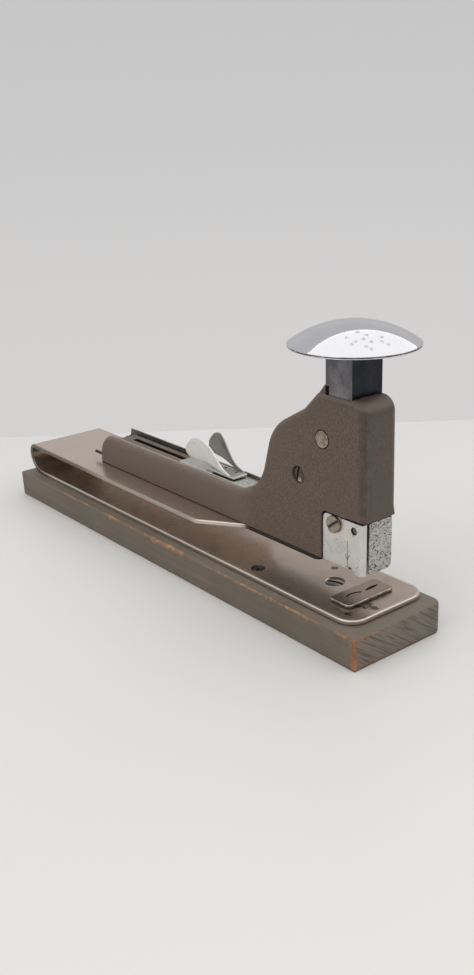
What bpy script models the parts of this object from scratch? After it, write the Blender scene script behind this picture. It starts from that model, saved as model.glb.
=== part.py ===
"""Long-reach palm stapler on a wooden base block.

A steel strip is folded back over itself: its lower strand is the base plate, screwed to the wood,
and its upper strand is the leaf spring that carries the head above the anvil.
Striking the knob bends the leaf down to the paper, then drives the plunger and its blade.

Frame: +X towards the nose, +Z up, y = 0 in the head's centre plane, z = 0 on the table.
"""
import math

import bmesh
import bpy
from mathutils import Matrix, Vector

MM = 0.001
GAP = 0.25 * MM  # clearance between pieces that rest on each other
REACH = 2.0 * MM  # how far a cutter runs past the face it opens

# Wooden block
WOOD_LENGTH = 280.0 * MM
WOOD_NEAR = -28.8 * MM
WOOD_FAR = 24.4 * MM
WOOD_HEIGHT = 14.0 * MM

# Folded steel strip
STRIP_HALF_WIDTH = 23.0 * MM
STRIP_THICK = 2.2 * MM
STRIP_REAR_X = -137.2 * MM
STRIP_FRONT_X = 132.2 * MM
STRIP_CORNER = 8.5 * MM
LEAF_TOP = 31.2 * MM
BEND_UPPER_RADIUS = 5.2 * MM
LEAF_ROOT_X = -126.0 * MM
LEAF_KINK_X = 27.5 * MM
LEAF_NECK_X = 48.5 * MM
LEAF_TIP_X = 98.0 * MM
LEAF_TONGUE_HALF = 9.2 * MM

# Anvil
ANVIL_LOW = (110.0 * MM, -14.2 * MM)
ANVIL_HIGH = (122.2 * MM, 12.8 * MM)
ANVIL_THICK = 1.4 * MM
CLINCH_HALF_LENGTH = 3.7 * MM
CLINCH_HALF_WIDTH = 0.55 * MM
CLINCH_DEPTH = 0.7 * MM
CLINCH_CENTRES = ((115.5 * MM, -4.6 * MM), (116.0 * MM, 4.6 * MM))

# Head casting
HEAD_HALF_WIDTH = 9.9 * MM
HEAD_BOTTOM = LEAF_TOP + GAP
HEAD_REAR_X = -78.5 * MM
HEAD_TOP = 104.6 * MM
HEAD_FRONT_X = 125.4 * MM
HEAD_FOOT_X = 125.8 * MM
COLLAR_HALF_WIDTH = 8.0 * MM
COLLAR_TOP = 107.7 * MM
ARM_TOP = 48.0 * MM
NOSE_REAR_X = 100.5 * MM
NOSE_TOP = 54.1 * MM
TONGUE_HALF_WIDTH = 7.05 * MM
TONGUE_FRONT_X = 115.6 * MM
TONGUE_BOTTOM = 49.2 * MM

# Plunger, knob and driver
PLUNGER_X = 109.4 * MM
PLUNGER_SIZE = (15.1 * MM, 17.0 * MM)
PLUNGER_BOTTOM = 75.0 * MM
PLUNGER_TOP = 122.0 * MM
BORE_FLOOR = 57.0 * MM
SPRING_POCKET_RADIUS = 5.0 * MM
SPRING_POCKET_TOP = 110.0 * MM
KNOB_RADIUS = 27.0 * MM
KNOB_RIM = 125.2 * MM
KNOB_CROWN = 134.0 * MM
KNOB_SHELL = 1.2 * MM
KNOB_BOSS_RADIUS = 7.5 * MM
STUD_RADIUS = 2.8 * MM
BLADE_X = (116.0 * MM, 116.8 * MM)
BLADE_HALF_WIDTH = 5.5 * MM
BLADE_TIP = 48.0 * MM
BLADE_TOP = 92.0 * MM
STOP_PIN = (100.9 * MM, 84.6 * MM)
STOP_PIN_RADIUS = 2.0 * MM
NOTCH_FRONT_X = 103.8 * MM
NOTCH_TOP = 107.6 * MM

# Magazine
TROUGH_REAR_X = -66.5 * MM
TROUGH_HALF_WIDTH = 6.75 * MM
TROUGH_FLOOR = 36.0 * MM
REAR_WALL_TOP = 41.0 * MM
CHANNEL_HALF_WIDTH = 6.5 * MM
CHANNEL_TOP = 48.8 * MM
SHEET = 0.8 * MM
MAGAZINE_FRONT_X = 115.3 * MM
CORE_HALF_WIDTH = 4.8 * MM
CORE_TOP = 46.7 * MM
CORE_REAR_X = -64.0 * MM
STAPLE_HALF_CROWN = 5.55 * MM
STAPLE_WIRE = 0.5 * MM
STAPLE_TOP = 47.5 * MM
STAPLE_LEG = 8.0 * MM
STAPLE_REAR_X = 19.0 * MM
PUSHER_REAR_X = -8.0 * MM
PUSHER_FRONT_X = 34.5 * MM
PUSHER_PLATE_HALF = 4.5 * MM
PUSHER_PLATE_LOW = 48.2 * MM
PUSHER_PLATE_TOP = 49.3 * MM
ROD_Z = 42.0 * MM
ROD_RADIUS = 0.9 * MM

# Nose
NOSE_HALF_WIDTH = 9.1 * MM
NOSE_FRONT_X = 123.9 * MM
NOSE_BOTTOM = 29.8 * MM
NOSE_PLATE_TOP = 53.5 * MM
NOSE_SHEET = 1.8 * MM
NOSE_SCREW = (107.6 * MM, 50.0 * MM)
NOSE_DOWEL = (119.3 * MM, 49.4 * MM)
NOSE_DOWEL_RADIUS = 1.5 * MM
NOSE_FRONT_NEAR_Y = -4.9 * MM

ARC_STEP = math.radians(15)


def clear_scene():
    """Remove every object that the file starts with."""
    for obj in list(bpy.data.objects):
        bpy.data.objects.remove(obj, do_unlink=True)


def new_collection(name):
    """Make a collection and link it to the scene."""
    made = bpy.data.collections.new(name)
    bpy.context.scene.collection.children.link(made)
    return made


def new_material(name, colour, roughness, metallic):
    """Make a Principled material."""
    made = bpy.data.materials.new(name)
    made.use_nodes = True
    shader = made.node_tree.nodes["Principled BSDF"]
    shader.inputs["Base Color"].default_value = (*colour, 1.0)
    shader.inputs["Roughness"].default_value = roughness
    shader.inputs["Metallic"].default_value = metallic
    return made


clear_scene()
PARTS = new_collection("palm_stapler")
CUTTERS = new_collection("cutters")


def add_object(name, data, material):
    """Link an object as a part when it has a material, and as a hidden cutter when it has none."""
    obj = bpy.data.objects.new(name, data)
    if material is None:
        CUTTERS.objects.link(obj)
        obj.hide_render = True
        obj.display_type = "WIRE"
    else:
        PARTS.objects.link(obj)
        data.materials.append(material)
    return obj


def mesh_from(name, bm, material):
    """Turn a bmesh into an object, with round faces shaded smooth."""
    mesh = bpy.data.meshes.new(name)
    bmesh.ops.recalc_face_normals(bm, faces=bm.faces)
    bm.to_mesh(mesh)
    bm.free()
    mesh.shade_smooth()
    mesh.set_sharp_from_angle(angle=math.radians(35))
    return add_object(name, mesh, material)


def box(name, low, high, material=None):
    """A block between two corners."""
    low = Vector(low)
    high = Vector(high)
    bm = bmesh.new()
    bmesh.ops.create_cube(bm, size=1.0)
    bmesh.ops.scale(bm, vec=high - low, verts=bm.verts)
    obj = mesh_from(name, bm, material)
    obj.location = (low + high) / 2
    return obj


def rod(name, start, end, radius, material=None, segments=24):
    """A round bar between two points."""
    start = Vector(start)
    end = Vector(end)
    bm = bmesh.new()
    bmesh.ops.create_cone(
        bm, cap_ends=True, segments=segments, radius1=radius, radius2=radius, depth=(end - start).length
    )
    obj = mesh_from(name, bm, material)
    obj.location = (start + end) / 2
    obj.rotation_mode = "QUATERNION"
    obj.rotation_quaternion = (end - start).to_track_quat("Z", "Y")
    return obj


def rounded(corners):
    """Points of a closed outline whose corners (x, y, radius) are rounded off with arcs."""
    points = []
    count = len(corners)
    for index, (x, y, radius) in enumerate(corners):
        here = Vector((x, y))
        if radius == 0:
            points.append(here)
            continue
        before = (Vector(corners[index - 1][:2]) - here).normalized()
        after = (Vector(corners[(index + 1) % count][:2]) - here).normalized()
        half_angle = before.angle(after) / 2
        centre = here + (before + after).normalized() * radius / math.sin(half_angle)
        start = here + before * radius / math.tan(half_angle) - centre
        turn = start.angle_signed(here + after * radius / math.tan(half_angle) - centre)
        steps = max(2, math.ceil(abs(turn) / ARC_STEP))
        for step in range(steps + 1):
            points.append(centre + start @ Matrix.Rotation(turn * step / steps, 2))
    return points


def slab(name, outline, low, high, material=None, upright=False):
    """A flat outline given a thickness, as a welded mesh.

    A level slab has its outline in x and y and fills z from low to high.
    An upright one has its outline in x and z and fills y from low to high.
    """
    curve = bpy.data.curves.new(name, "CURVE")
    curve.dimensions = "2D"
    curve.fill_mode = "BOTH"
    curve.extrude = (high - low) / 2
    spline = curve.splines.new("POLY")
    spline.points.add(len(outline) - 1)
    for point, (x, y) in zip(spline.points, outline):
        point.co = (x, y, 0, 1)
    spline.use_cyclic_u = True
    guide = bpy.data.objects.new(name + "_outline", curve)
    bpy.context.scene.collection.objects.link(guide)
    middle = (low + high) / 2
    guide.location = (0, middle, 0) if upright else (0, 0, middle)
    guide.rotation_euler = (math.pi / 2, 0, 0) if upright else (0, 0, 0)
    bpy.context.view_layer.update()
    evaluated = guide.evaluated_get(bpy.context.evaluated_depsgraph_get())
    mesh = bpy.data.meshes.new_from_object(evaluated)
    placed = guide.matrix_world.copy()
    bpy.data.objects.remove(guide)
    bpy.data.curves.remove(curve)
    bm = bmesh.new()
    bm.from_mesh(mesh)
    bpy.data.meshes.remove(mesh)
    bmesh.ops.remove_doubles(bm, verts=bm.verts, dist=0.001 * MM)
    obj = mesh_from(name, bm, material)
    obj.matrix_world = placed
    return obj


def turned(name, profile, origin, direction, material=None, steps=24):
    """A turned piece: profile (radius, height) runs from its top, on the axis, to its bottom."""
    mesh = bpy.data.meshes.new(name)
    edges = [(index, index + 1) for index in range(len(profile) - 1)]
    mesh.from_pydata([(radius, 0, height) for radius, height in profile], edges, [])
    obj = add_object(name, mesh, material)
    obj.location = origin
    obj.rotation_mode = "QUATERNION"
    obj.rotation_quaternion = Vector(direction).to_track_quat("Z", "Y")
    screw = obj.modifiers.new("Turn", "SCREW")
    screw.axis = "Z"
    screw.steps = steps
    screw.render_steps = steps
    screw.use_merge_vertices = True
    screw.merge_threshold = 0.001 * MM
    screw.use_smooth_shade = True
    return obj


def combine(target, tool, operation):
    """Cut a tool from a piece, or join it on."""
    modifier = target.modifiers.new(tool.name, "BOOLEAN")
    modifier.operation = operation
    modifier.object = tool


def cut(target, tool):
    combine(target, tool, "DIFFERENCE")


def join(target, tool):
    combine(target, tool, "UNION")


def pivot(name, location, pieces):
    """Put an empty on a joint's axis and hang the moving pieces on it."""
    empty = bpy.data.objects.new(name, None)
    PARTS.objects.link(empty)
    empty.location = location
    for piece in pieces:
        piece.parent = empty
        piece.matrix_parent_inverse = Matrix.Translation(-Vector(location))
    return empty


GREY_PAINT = new_material("grey_paint_on_wood", (0.17, 0.165, 0.145), 0.55, 0.0)
TAUPE_STRIP = new_material("satin_strip_steel", (0.25, 0.22, 0.19), 0.38, 0.75)
WRINKLE_PAINT = new_material("taupe_enamel", (0.12, 0.1, 0.08), 0.5, 0.1)
NICKEL = new_material("nickel_plate", (0.62, 0.61, 0.58), 0.3, 1.0)
BRIGHT_CHROME = new_material("bright_chrome", (0.8, 0.8, 0.8), 0.1, 1.0)
BLUED = new_material("blued_steel", (0.07, 0.075, 0.085), 0.35, 0.9)
DARK_STEEL = new_material("dark_steel", (0.15, 0.15, 0.145), 0.4, 0.9)
SPRING_STEEL = new_material("spring_steel", (0.3, 0.3, 0.3), 0.3, 1.0)
STAPLE_STEEL = new_material("staple_wire", (0.5, 0.5, 0.5), 0.35, 1.0)


def screw_profile(head_radius, head_height, shank_radius, length, countersunk, grow):
    """Profile of a screw, or of the hole that takes it when grow is its clearance."""
    lift = REACH if grow else 0.0
    top = lift if countersunk else head_height + lift
    head = [(0.0, top), (head_radius + grow, top)]
    if countersunk:
        head.append((head_radius + grow, 0.0))
        head.append((shank_radius + grow, -head_height))
    else:
        head.append((head_radius + grow, -grow))
        head.append((shank_radius + grow, -grow))
    return head + [(shank_radius + grow, -length - grow), (0.0, -length - grow)]


def fastener(name, seat, direction, head, shank, material, holes, countersunk=True, slot=None):
    """A screw or rivet and its holes.

    head is (radius, height), shank is (radius, length), and slot is (half width, depth, turn).
    """
    sizes = (*head, *shank, countersunk)
    piece = turned(name, screw_profile(*sizes, 0.0), seat, direction, material)
    for target in holes:
        tool = turned(f"{name}_hole_{target.name}", screw_profile(*sizes, GAP), seat, direction)
        cut(target, tool)
    if slot:
        half_width, depth, turn = slot
        top = 0.0 if countersunk else head[1]
        tool = box(
            name + "_slot",
            (-head[0] - REACH, -half_width, -depth),
            (head[0] + REACH, half_width, REACH),
        )
        facing = Vector(direction).to_track_quat("Z", "Y")
        middle = Vector((0, 0, top + (REACH - depth) / 2))
        tool.rotation_mode = "QUATERNION"
        tool.location = Vector(seat) + facing @ middle
        tool.rotation_quaternion = facing @ Matrix.Rotation(turn, 3, "Z").to_quaternion()
        cut(piece, tool)
    return piece


def wood_base():
    """Block with one corner rounded more than the others."""
    outline = rounded(
        (
            (-WOOD_LENGTH / 2, WOOD_NEAR, 0.8 * MM),
            (WOOD_LENGTH / 2, WOOD_NEAR, 0.8 * MM),
            (WOOD_LENGTH / 2, WOOD_FAR, 5.0 * MM),
            (-WOOD_LENGTH / 2, WOOD_FAR, 2.0 * MM),
        )
    )
    return slab("wood_base", outline, 0.0, WOOD_HEIGHT, GREY_PAINT)


def strip_outline(x_end):
    """Side view of the strip: flat lower strand, tight upper bend and the start of the upper strand."""
    bottom = WOOD_HEIGHT + GAP
    lower_radius = LEAF_TOP - bottom - BEND_UPPER_RADIUS
    middle = LEAF_TOP - BEND_UPPER_RADIUS
    steps = 8

    def arc(centre_x, radius, start, end):
        for step in range(steps + 1):
            angle = start + (end - start) * step / steps
            yield centre_x + radius * math.cos(angle), middle + radius * math.sin(angle)

    lower_x = STRIP_REAR_X + lower_radius
    upper_x = STRIP_REAR_X + BEND_UPPER_RADIUS
    outside = [(STRIP_FRONT_X, bottom)]
    outside += arc(lower_x, lower_radius, 1.5 * math.pi, math.pi)
    outside += list(arc(upper_x, BEND_UPPER_RADIUS, math.pi, math.pi / 2))[1:]
    outside.append((x_end, LEAF_TOP))
    inside = [(x_end, LEAF_TOP - STRIP_THICK)]
    inside += arc(upper_x, BEND_UPPER_RADIUS - STRIP_THICK, math.pi / 2, math.pi)
    inside += list(arc(lower_x, lower_radius - STRIP_THICK, math.pi, 1.5 * math.pi))[1:]
    inside.append((STRIP_FRONT_X, bottom + STRIP_THICK))
    return outside + inside


def base_strip():
    """Lower strand and rear bend, with the front corners rounded in plan."""
    outline = strip_outline(LEAF_ROOT_X - GAP)
    strip = slab("base_strip", outline, -STRIP_HALF_WIDTH, STRIP_HALF_WIDTH, TAUPE_STRIP, upright=True)
    side = STRIP_HALF_WIDTH + REACH
    front = STRIP_FRONT_X - STRIP_CORNER
    for name, sign in (("near", -1), ("far", 1)):
        edge = sign * (STRIP_HALF_WIDTH - STRIP_CORNER)
        corner = box(
            f"strip_corner_{name}",
            (front, min(edge, sign * side), WOOD_HEIGHT - REACH),
            (STRIP_FRONT_X + REACH, max(edge, sign * side), WOOD_HEIGHT + STRIP_THICK + REACH),
        )
        keep = rod(
            f"strip_corner_arc_{name}",
            (front, edge, WOOD_HEIGHT - 2 * REACH),
            (front, edge, WOOD_HEIGHT + STRIP_THICK + 2 * REACH),
            STRIP_CORNER,
            segments=48,
        )
        cut(corner, keep)
        cut(strip, corner)
    return strip


def leaf_spring():
    """Upper strand, tapered to a tongue under the head."""
    wide = STRIP_HALF_WIDTH
    half = (
        (LEAF_TIP_X, LEAF_TONGUE_HALF, 3 * MM),
        (LEAF_NECK_X, LEAF_TONGUE_HALF, 6 * MM),
        (LEAF_KINK_X, wide, 5 * MM),
        (LEAF_ROOT_X, wide, 0.0),
    )
    mirrored = tuple((x, -y, radius) for x, y, radius in reversed(half))
    return slab("leaf_spring", rounded(half + mirrored), LEAF_TOP - STRIP_THICK, LEAF_TOP, TAUPE_STRIP)


def anvil_plate():
    """Raised plate with two grooves that close the staple's legs."""
    low_z = WOOD_HEIGHT + GAP + STRIP_THICK + GAP
    corner = 2.5 * MM
    outline = rounded(
        (
            (ANVIL_LOW[0], ANVIL_LOW[1], corner),
            (ANVIL_HIGH[0], ANVIL_LOW[1], corner),
            (ANVIL_HIGH[0], ANVIL_HIGH[1], corner),
            (ANVIL_LOW[0], ANVIL_HIGH[1], corner),
        )
    )
    anvil = slab("anvil_plate", outline, low_z, low_z + ANVIL_THICK, TAUPE_STRIP)
    for index, (x, y) in enumerate(CLINCH_CENTRES, 1):
        groove = box(
            f"clinch_groove_{index}",
            (x - CLINCH_HALF_WIDTH, y - CLINCH_HALF_LENGTH, low_z + ANVIL_THICK - CLINCH_DEPTH),
            (x + CLINCH_HALF_WIDTH, y + CLINCH_HALF_LENGTH, low_z + ANVIL_THICK + REACH),
        )
        cut(anvil, groove)
    return anvil


def base_screws(wood, strip):
    """Countersunk screws that hold the strip on the wood."""
    places = {
        "base_screw_front": (98.6 * MM, 0.0),
        "base_screw_near": (65.0 * MM, -15.9 * MM),
        "base_screw_far": (65.0 * MM, 15.9 * MM),
        "base_screw_middle": (-85.0 * MM, 0.0),
        "base_screw_rear": (-110.0 * MM, 0.0),
    }
    seat = WOOD_HEIGHT + GAP + STRIP_THICK
    slot = (0.4 * MM, 0.8 * MM, math.radians(-55))
    for name, (x, y) in places.items():
        small = y != 0.0
        head = (2.8 * MM, 1.6 * MM) if small else (4.2 * MM, 1.9 * MM)
        shank = (1.4 * MM, 10.5 * MM) if small else (1.9 * MM, 12.0 * MM)
        fastener(name, (x, y, seat), (0, 0, 1), head, shank, TAUPE_STRIP, (wood, strip), slot=slot)


def head_casting():
    """Arm and head in one casting, with the collar behind the plunger."""
    side = rounded(
        (
            (HEAD_REAR_X, HEAD_BOTTOM, 1.5 * MM),
            (NOSE_REAR_X, HEAD_BOTTOM, 0.0),
            (NOSE_REAR_X, TONGUE_BOTTOM, 0.0),
            (TONGUE_FRONT_X, TONGUE_BOTTOM, 0.0),
            (TONGUE_FRONT_X, NOSE_TOP, 0.0),
            (HEAD_FOOT_X, NOSE_TOP, 1.2 * MM),
            (HEAD_FRONT_X, 64.0 * MM, 12.0 * MM),
            (HEAD_FRONT_X, HEAD_TOP, 7.0 * MM),
            (97.9 * MM, HEAD_TOP, 5.0 * MM),
            (88.6 * MM, 95.3 * MM, 6.0 * MM),
            (67.4 * MM, 83.2 * MM, 22.0 * MM),
            (58.0 * MM, ARM_TOP, 22.0 * MM),
            (HEAD_REAR_X, ARM_TOP, 11.0 * MM),
        )
    )
    casting = slab("head_casting", side, -HEAD_HALF_WIDTH, HEAD_HALF_WIDTH, WRINKLE_PAINT, upright=True)
    half = HEAD_HALF_WIDTH - GAP / 2
    rear_corner = 2.5 * MM
    front_corner = 4.5 * MM
    plan = rounded(
        (
            (HEAD_REAR_X, -half, rear_corner),
            (HEAD_FOOT_X, -half, front_corner),
            (HEAD_FOOT_X, half, front_corner),
            (HEAD_REAR_X, half, rear_corner),
        )
    )
    combine(casting, slab("head_plan", plan, 0.0, HEAD_TOP + REACH), "INTERSECT")
    collar = rounded(
        (
            (94.0 * MM, 98.0 * MM, 0.0),
            (104.0 * MM, 98.0 * MM, 0.0),
            (104.0 * MM, COLLAR_TOP, 0.0),
            (100.4 * MM, COLLAR_TOP, 0.8 * MM),
            (94.0 * MM, 100.9 * MM, 0.0),
        )
    )
    join(casting, slab("head_collar", collar, -COLLAR_HALF_WIDTH, COLLAR_HALF_WIDTH, upright=True))
    hollow_casting(casting)
    return casting


def hollow_casting(casting):
    """Cut the plunger's bore, the blade's passage, the magazine's trough and the nose pocket."""
    half_x = PLUNGER_SIZE[0] / 2 + GAP
    half_y = PLUNGER_SIZE[1] / 2 + GAP
    bore = box(
        "plunger_bore",
        (PLUNGER_X - half_x, -half_y, BORE_FLOOR),
        (PLUNGER_X + half_x, half_y, COLLAR_TOP + REACH),
    )
    passage = box(
        "blade_passage",
        (BLADE_X[0] - 3.6 * GAP, -BLADE_HALF_WIDTH - 2 * GAP, TONGUE_BOTTOM - REACH),
        (BLADE_X[1] + 2 * GAP, BLADE_HALF_WIDTH + 2 * GAP, BORE_FLOOR + REACH),
    )
    trough = box(
        "magazine_trough",
        (TROUGH_REAR_X, -TROUGH_HALF_WIDTH, TROUGH_FLOOR),
        (NOSE_REAR_X + REACH, TROUGH_HALF_WIDTH, TONGUE_BOTTOM),
    )
    open_half = TROUGH_HALF_WIDTH - GAP / 2
    open_end = box(
        "trough_open_end",
        (HEAD_REAR_X - REACH, -open_half, REAR_WALL_TOP),
        (TROUGH_REAR_X + REACH, open_half, TONGUE_BOTTOM),
    )
    for tool in (bore, passage, trough, open_end):
        cut(casting, tool)
    pocket_front = HEAD_FOOT_X + REACH
    pocket = rounded(
        (
            (NOSE_REAR_X, HEAD_BOTTOM - REACH, 0.0),
            (pocket_front, HEAD_BOTTOM - REACH, 0.0),
            (pocket_front, NOSE_TOP, 0.0),
            (NOSE_REAR_X, NOSE_TOP, 2.5 * MM),
        )
    )
    outer = HEAD_HALF_WIDTH + REACH
    cut(casting, slab("nose_pocket_near", pocket, -outer, -TONGUE_HALF_WIDTH, upright=True))
    cut(casting, slab("nose_pocket_far", pocket, TONGUE_HALF_WIDTH, outer, upright=True))


def leaf_screws(casting, leaf):
    """Screws from below that hold the head on the leaf."""
    head = (3.4 * MM, 1.5 * MM)
    shank = (1.6 * MM, 6.3 * MM)
    slot = (0.4 * MM, 0.7 * MM, math.radians(17))
    seat = LEAF_TOP - STRIP_THICK
    made = []
    for name, x in (("rear", -62 * MM), ("middle", 10 * MM), ("front", 86 * MM)):
        made.append(
            fastener(
                f"leaf_screw_{name}", (x, 0, seat), (0, 0, -1), head, shank, DARK_STEEL,
                (leaf, casting), slot=slot,
            )
        )
    return made


def plunger():
    """Square bar, bored for its spring, notched for the stop pin and stepped for the blade."""
    half_x, half_y = PLUNGER_SIZE[0] / 2, PLUNGER_SIZE[1] / 2
    rear = PLUNGER_X - half_x
    front = PLUNGER_X + half_x
    bar = box("plunger", (rear, -half_y, PLUNGER_BOTTOM), (front, half_y, PLUNGER_TOP), BLUED)
    pocket = rod(
        "plunger_spring_pocket",
        (PLUNGER_X, 0, PLUNGER_BOTTOM - REACH),
        (PLUNGER_X, 0, SPRING_POCKET_TOP),
        SPRING_POCKET_RADIUS,
        segments=32,
    )
    notch = box(
        "plunger_stop_notch",
        (rear - REACH, -half_y - REACH, STOP_PIN[1] - STOP_PIN_RADIUS - 2 * GAP),
        (NOTCH_FRONT_X, half_y + REACH, NOTCH_TOP),
    )
    seat = box(
        "plunger_blade_seat",
        (BLADE_X[0] - GAP, -BLADE_HALF_WIDTH - GAP, PLUNGER_BOTTOM - REACH),
        (front + REACH, BLADE_HALF_WIDTH + GAP, BLADE_TOP + GAP),
    )
    for tool in (pocket, notch, seat):
        cut(bar, tool)
    return bar


def driver_blade():
    """Blade that pushes one staple out of the nose."""
    low = (BLADE_X[0], -BLADE_HALF_WIDTH, BLADE_TIP)
    high = (BLADE_X[1], BLADE_HALF_WIDTH, BLADE_TOP)
    return box("driver_blade", low, high, DARK_STEEL)


def driver_rivets(bar, blade):
    """Flush rivets that hold the blade in its seat."""
    head = (1.6 * MM, 0.6 * MM)
    shank = (0.9 * MM, 1.9 * MM)
    made = []
    for name, z in (("lower", 80 * MM), ("upper", 88 * MM)):
        made.append(
            fastener(
                f"driver_rivet_{name}", (BLADE_X[1], 0, z), (1, 0, 0), head, shank, SPRING_STEEL, (blade, bar)
            )
        )
    return made


def knob():
    """Domed palm knob: a thin shell with a turned boss below its crown."""
    height = KNOB_CROWN - KNOB_RIM
    sphere = (KNOB_RADIUS**2 + height**2) / (2 * height)
    steps = 14
    boss_bottom = PLUNGER_TOP + GAP
    outer = []
    for step in range(steps + 1):
        radius = KNOB_RADIUS * step / steps
        outer.append((radius, KNOB_CROWN - sphere + math.sqrt(sphere**2 - radius**2)))
    lip = [
        (KNOB_RADIUS - 0.1 * MM, KNOB_RIM - 0.3 * MM),
        (KNOB_RADIUS - 0.6 * MM, KNOB_RIM - 0.4 * MM),
        (KNOB_RADIUS - 1.3 * MM, KNOB_RIM - 0.2 * MM),
    ]
    inner = []
    for step in range(steps - 2, 4, -1):
        radius = (KNOB_RADIUS - KNOB_SHELL) * step / steps
        inner.append((radius, KNOB_CROWN - sphere + math.sqrt(sphere**2 - radius**2) - KNOB_SHELL))
    boss = [(KNOB_BOSS_RADIUS, inner[-1][1]), (KNOB_BOSS_RADIUS, boss_bottom), (0.0, boss_bottom)]
    return turned("knob", outer + lip + inner + boss, (PLUNGER_X, 0, 0), (0, 0, 1), BRIGHT_CHROME, steps=48)


def knob_stud(bar, dome):
    """Threaded stud that joins the knob to the plunger."""
    low = PLUNGER_TOP - 9 * MM
    high = PLUNGER_TOP + 8 * MM
    stud = rod("knob_stud", (PLUNGER_X, 0, low), (PLUNGER_X, 0, high), STUD_RADIUS, DARK_STEEL)
    hole_radius = STUD_RADIUS + GAP
    for target, start, end in (
        (bar, low - GAP, PLUNGER_TOP + REACH),
        (dome, PLUNGER_TOP - REACH, high + GAP),
    ):
        hole = rod(f"knob_stud_hole_{target.name}", (PLUNGER_X, 0, start), (PLUNGER_X, 0, end), hole_radius)
        cut(target, hole)
    return stud


def coil(name, start, axis, length, mean_radius, wire_radius, turns, points_per_turn, material):
    """A round-wire coil spring with its first turn centred at start."""
    start = Vector(start)
    axis = Vector(axis)
    side = axis.orthogonal().normalized()
    other = axis.cross(side)
    curve = bpy.data.curves.new(name, "CURVE")
    curve.dimensions = "3D"
    curve.bevel_depth = wire_radius
    curve.bevel_resolution = 2
    curve.use_fill_caps = True
    spline = curve.splines.new("POLY")
    count = turns * points_per_turn
    spline.points.add(count)
    for index, point in enumerate(spline.points):
        angle = 2 * math.pi * index / points_per_turn
        along = axis * length * index / count
        around = side * math.cos(angle) + other * math.sin(angle)
        point.co = (*(along + around * mean_radius), 1)
    obj = add_object(name, curve, material)
    obj.location = start
    return obj


def return_spring():
    """Spring inside the plunger, from the bore's floor to the pocket's end."""
    wire = 0.6 * MM
    low = BORE_FLOOR + GAP + wire
    length = SPRING_POCKET_TOP - GAP - wire - low
    return coil("return_spring", (PLUNGER_X, 0, low), (0, 0, 1), length, 4.0 * MM, wire, 9, 12, SPRING_STEEL)


def spring_post(casting):
    """Pin in the bore's floor that keeps the return spring straight."""
    radius = 2.6 * MM
    low = BORE_FLOOR - 5 * MM
    high = BORE_FLOOR + 19 * MM
    hole_low = (PLUNGER_X, 0, low - GAP)
    hole_high = (PLUNGER_X, 0, BORE_FLOOR + REACH)
    cut(casting, rod("spring_post_hole", hole_low, hole_high, radius + GAP))
    return rod("spring_post", (PLUNGER_X, 0, low), (PLUNGER_X, 0, high), radius, DARK_STEEL)


def stop_pin(casting):
    """Cross pin that holds the plunger at the top of its travel."""
    x, z = STOP_PIN
    head = (4.0 * MM, 0.7 * MM)
    shank = (STOP_PIN_RADIUS, 2 * HEAD_HALF_WIDTH - GAP)
    seat = (x, -HEAD_HALF_WIDTH, z)
    return fastener("stop_pin", seat, (0, -1, 0), head, shank, NICKEL, (casting,), countersunk=False)


def body_screw(casting):
    """Slotted screw sunk in the side of the head."""
    sunk = 0.6 * MM
    seat = (86.5 * MM, -HEAD_HALF_WIDTH + sunk, 65.6 * MM)
    head = (4.1 * MM, 2.2 * MM)
    shank = (2.1 * MM, 13 * MM)
    slot = (0.55 * MM, 1.0 * MM, math.radians(78))
    return fastener("body_screw", seat, (0, -1, 0), head, shank, DARK_STEEL, (casting,), slot=slot)


def nose_profile(name):
    """Side view that both nose plates are trimmed to, lower at the driver than behind it."""
    front = NOSE_FRONT_X + REACH
    outline = rounded(
        (
            (NOSE_REAR_X + GAP, HEAD_BOTTOM, 0),
            (113.5 * MM, HEAD_BOTTOM, 0),
            (117.5 * MM, NOSE_BOTTOM, 0),
            (front, NOSE_BOTTOM, 0),
            (front, NOSE_PLATE_TOP, 0),
            (NOSE_REAR_X + GAP, NOSE_PLATE_TOP, 2.7 * MM),
        )
    )
    return slab(name, outline, -NOSE_HALF_WIDTH - REACH, NOSE_HALF_WIDTH + REACH, upright=True)


def nose_plate(name, outline):
    """A nose plate from its plan, trimmed to the nose's side view."""
    plate = slab(name, rounded(outline), NOSE_BOTTOM - REACH, NOSE_PLATE_TOP + REACH, NICKEL)
    combine(plate, nose_profile(name + "_profile"), "INTERSECT")
    return plate


def nose_side_plate():
    """Near side of the nose, wrapped round its front corner."""
    rear = NOSE_REAR_X - REACH
    outer = -NOSE_HALF_WIDTH
    inner = outer + NOSE_SHEET
    lip = -5.7 * MM
    outline = (
        (rear, inner, 0.0),
        (rear, outer, 0.0),
        (NOSE_FRONT_X, outer, 2.6 * MM),
        (NOSE_FRONT_X, lip, 0.3 * MM),
        (NOSE_FRONT_X - NOSE_SHEET, lip, 0.0),
        (NOSE_FRONT_X - NOSE_SHEET, inner, 0.6 * MM),
    )
    return nose_plate("nose_side_plate", outline)


def nose_front_plate():
    """Front of the nose with the far side in one piece."""
    rear = NOSE_REAR_X - REACH
    near = NOSE_FRONT_NEAR_Y
    back = BLADE_X[1] + 0.9 * MM
    inner = NOSE_HALF_WIDTH - NOSE_SHEET
    outline = (
        (back, near, 0.0),
        (NOSE_FRONT_X, near, 0.3 * MM),
        (NOSE_FRONT_X, NOSE_HALF_WIDTH, 1.0 * MM),
        (rear, NOSE_HALF_WIDTH, 0.0),
        (rear, inner, 0.0),
        (back, inner, 0.0),
    )
    return nose_plate("nose_front_plate", outline)


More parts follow.
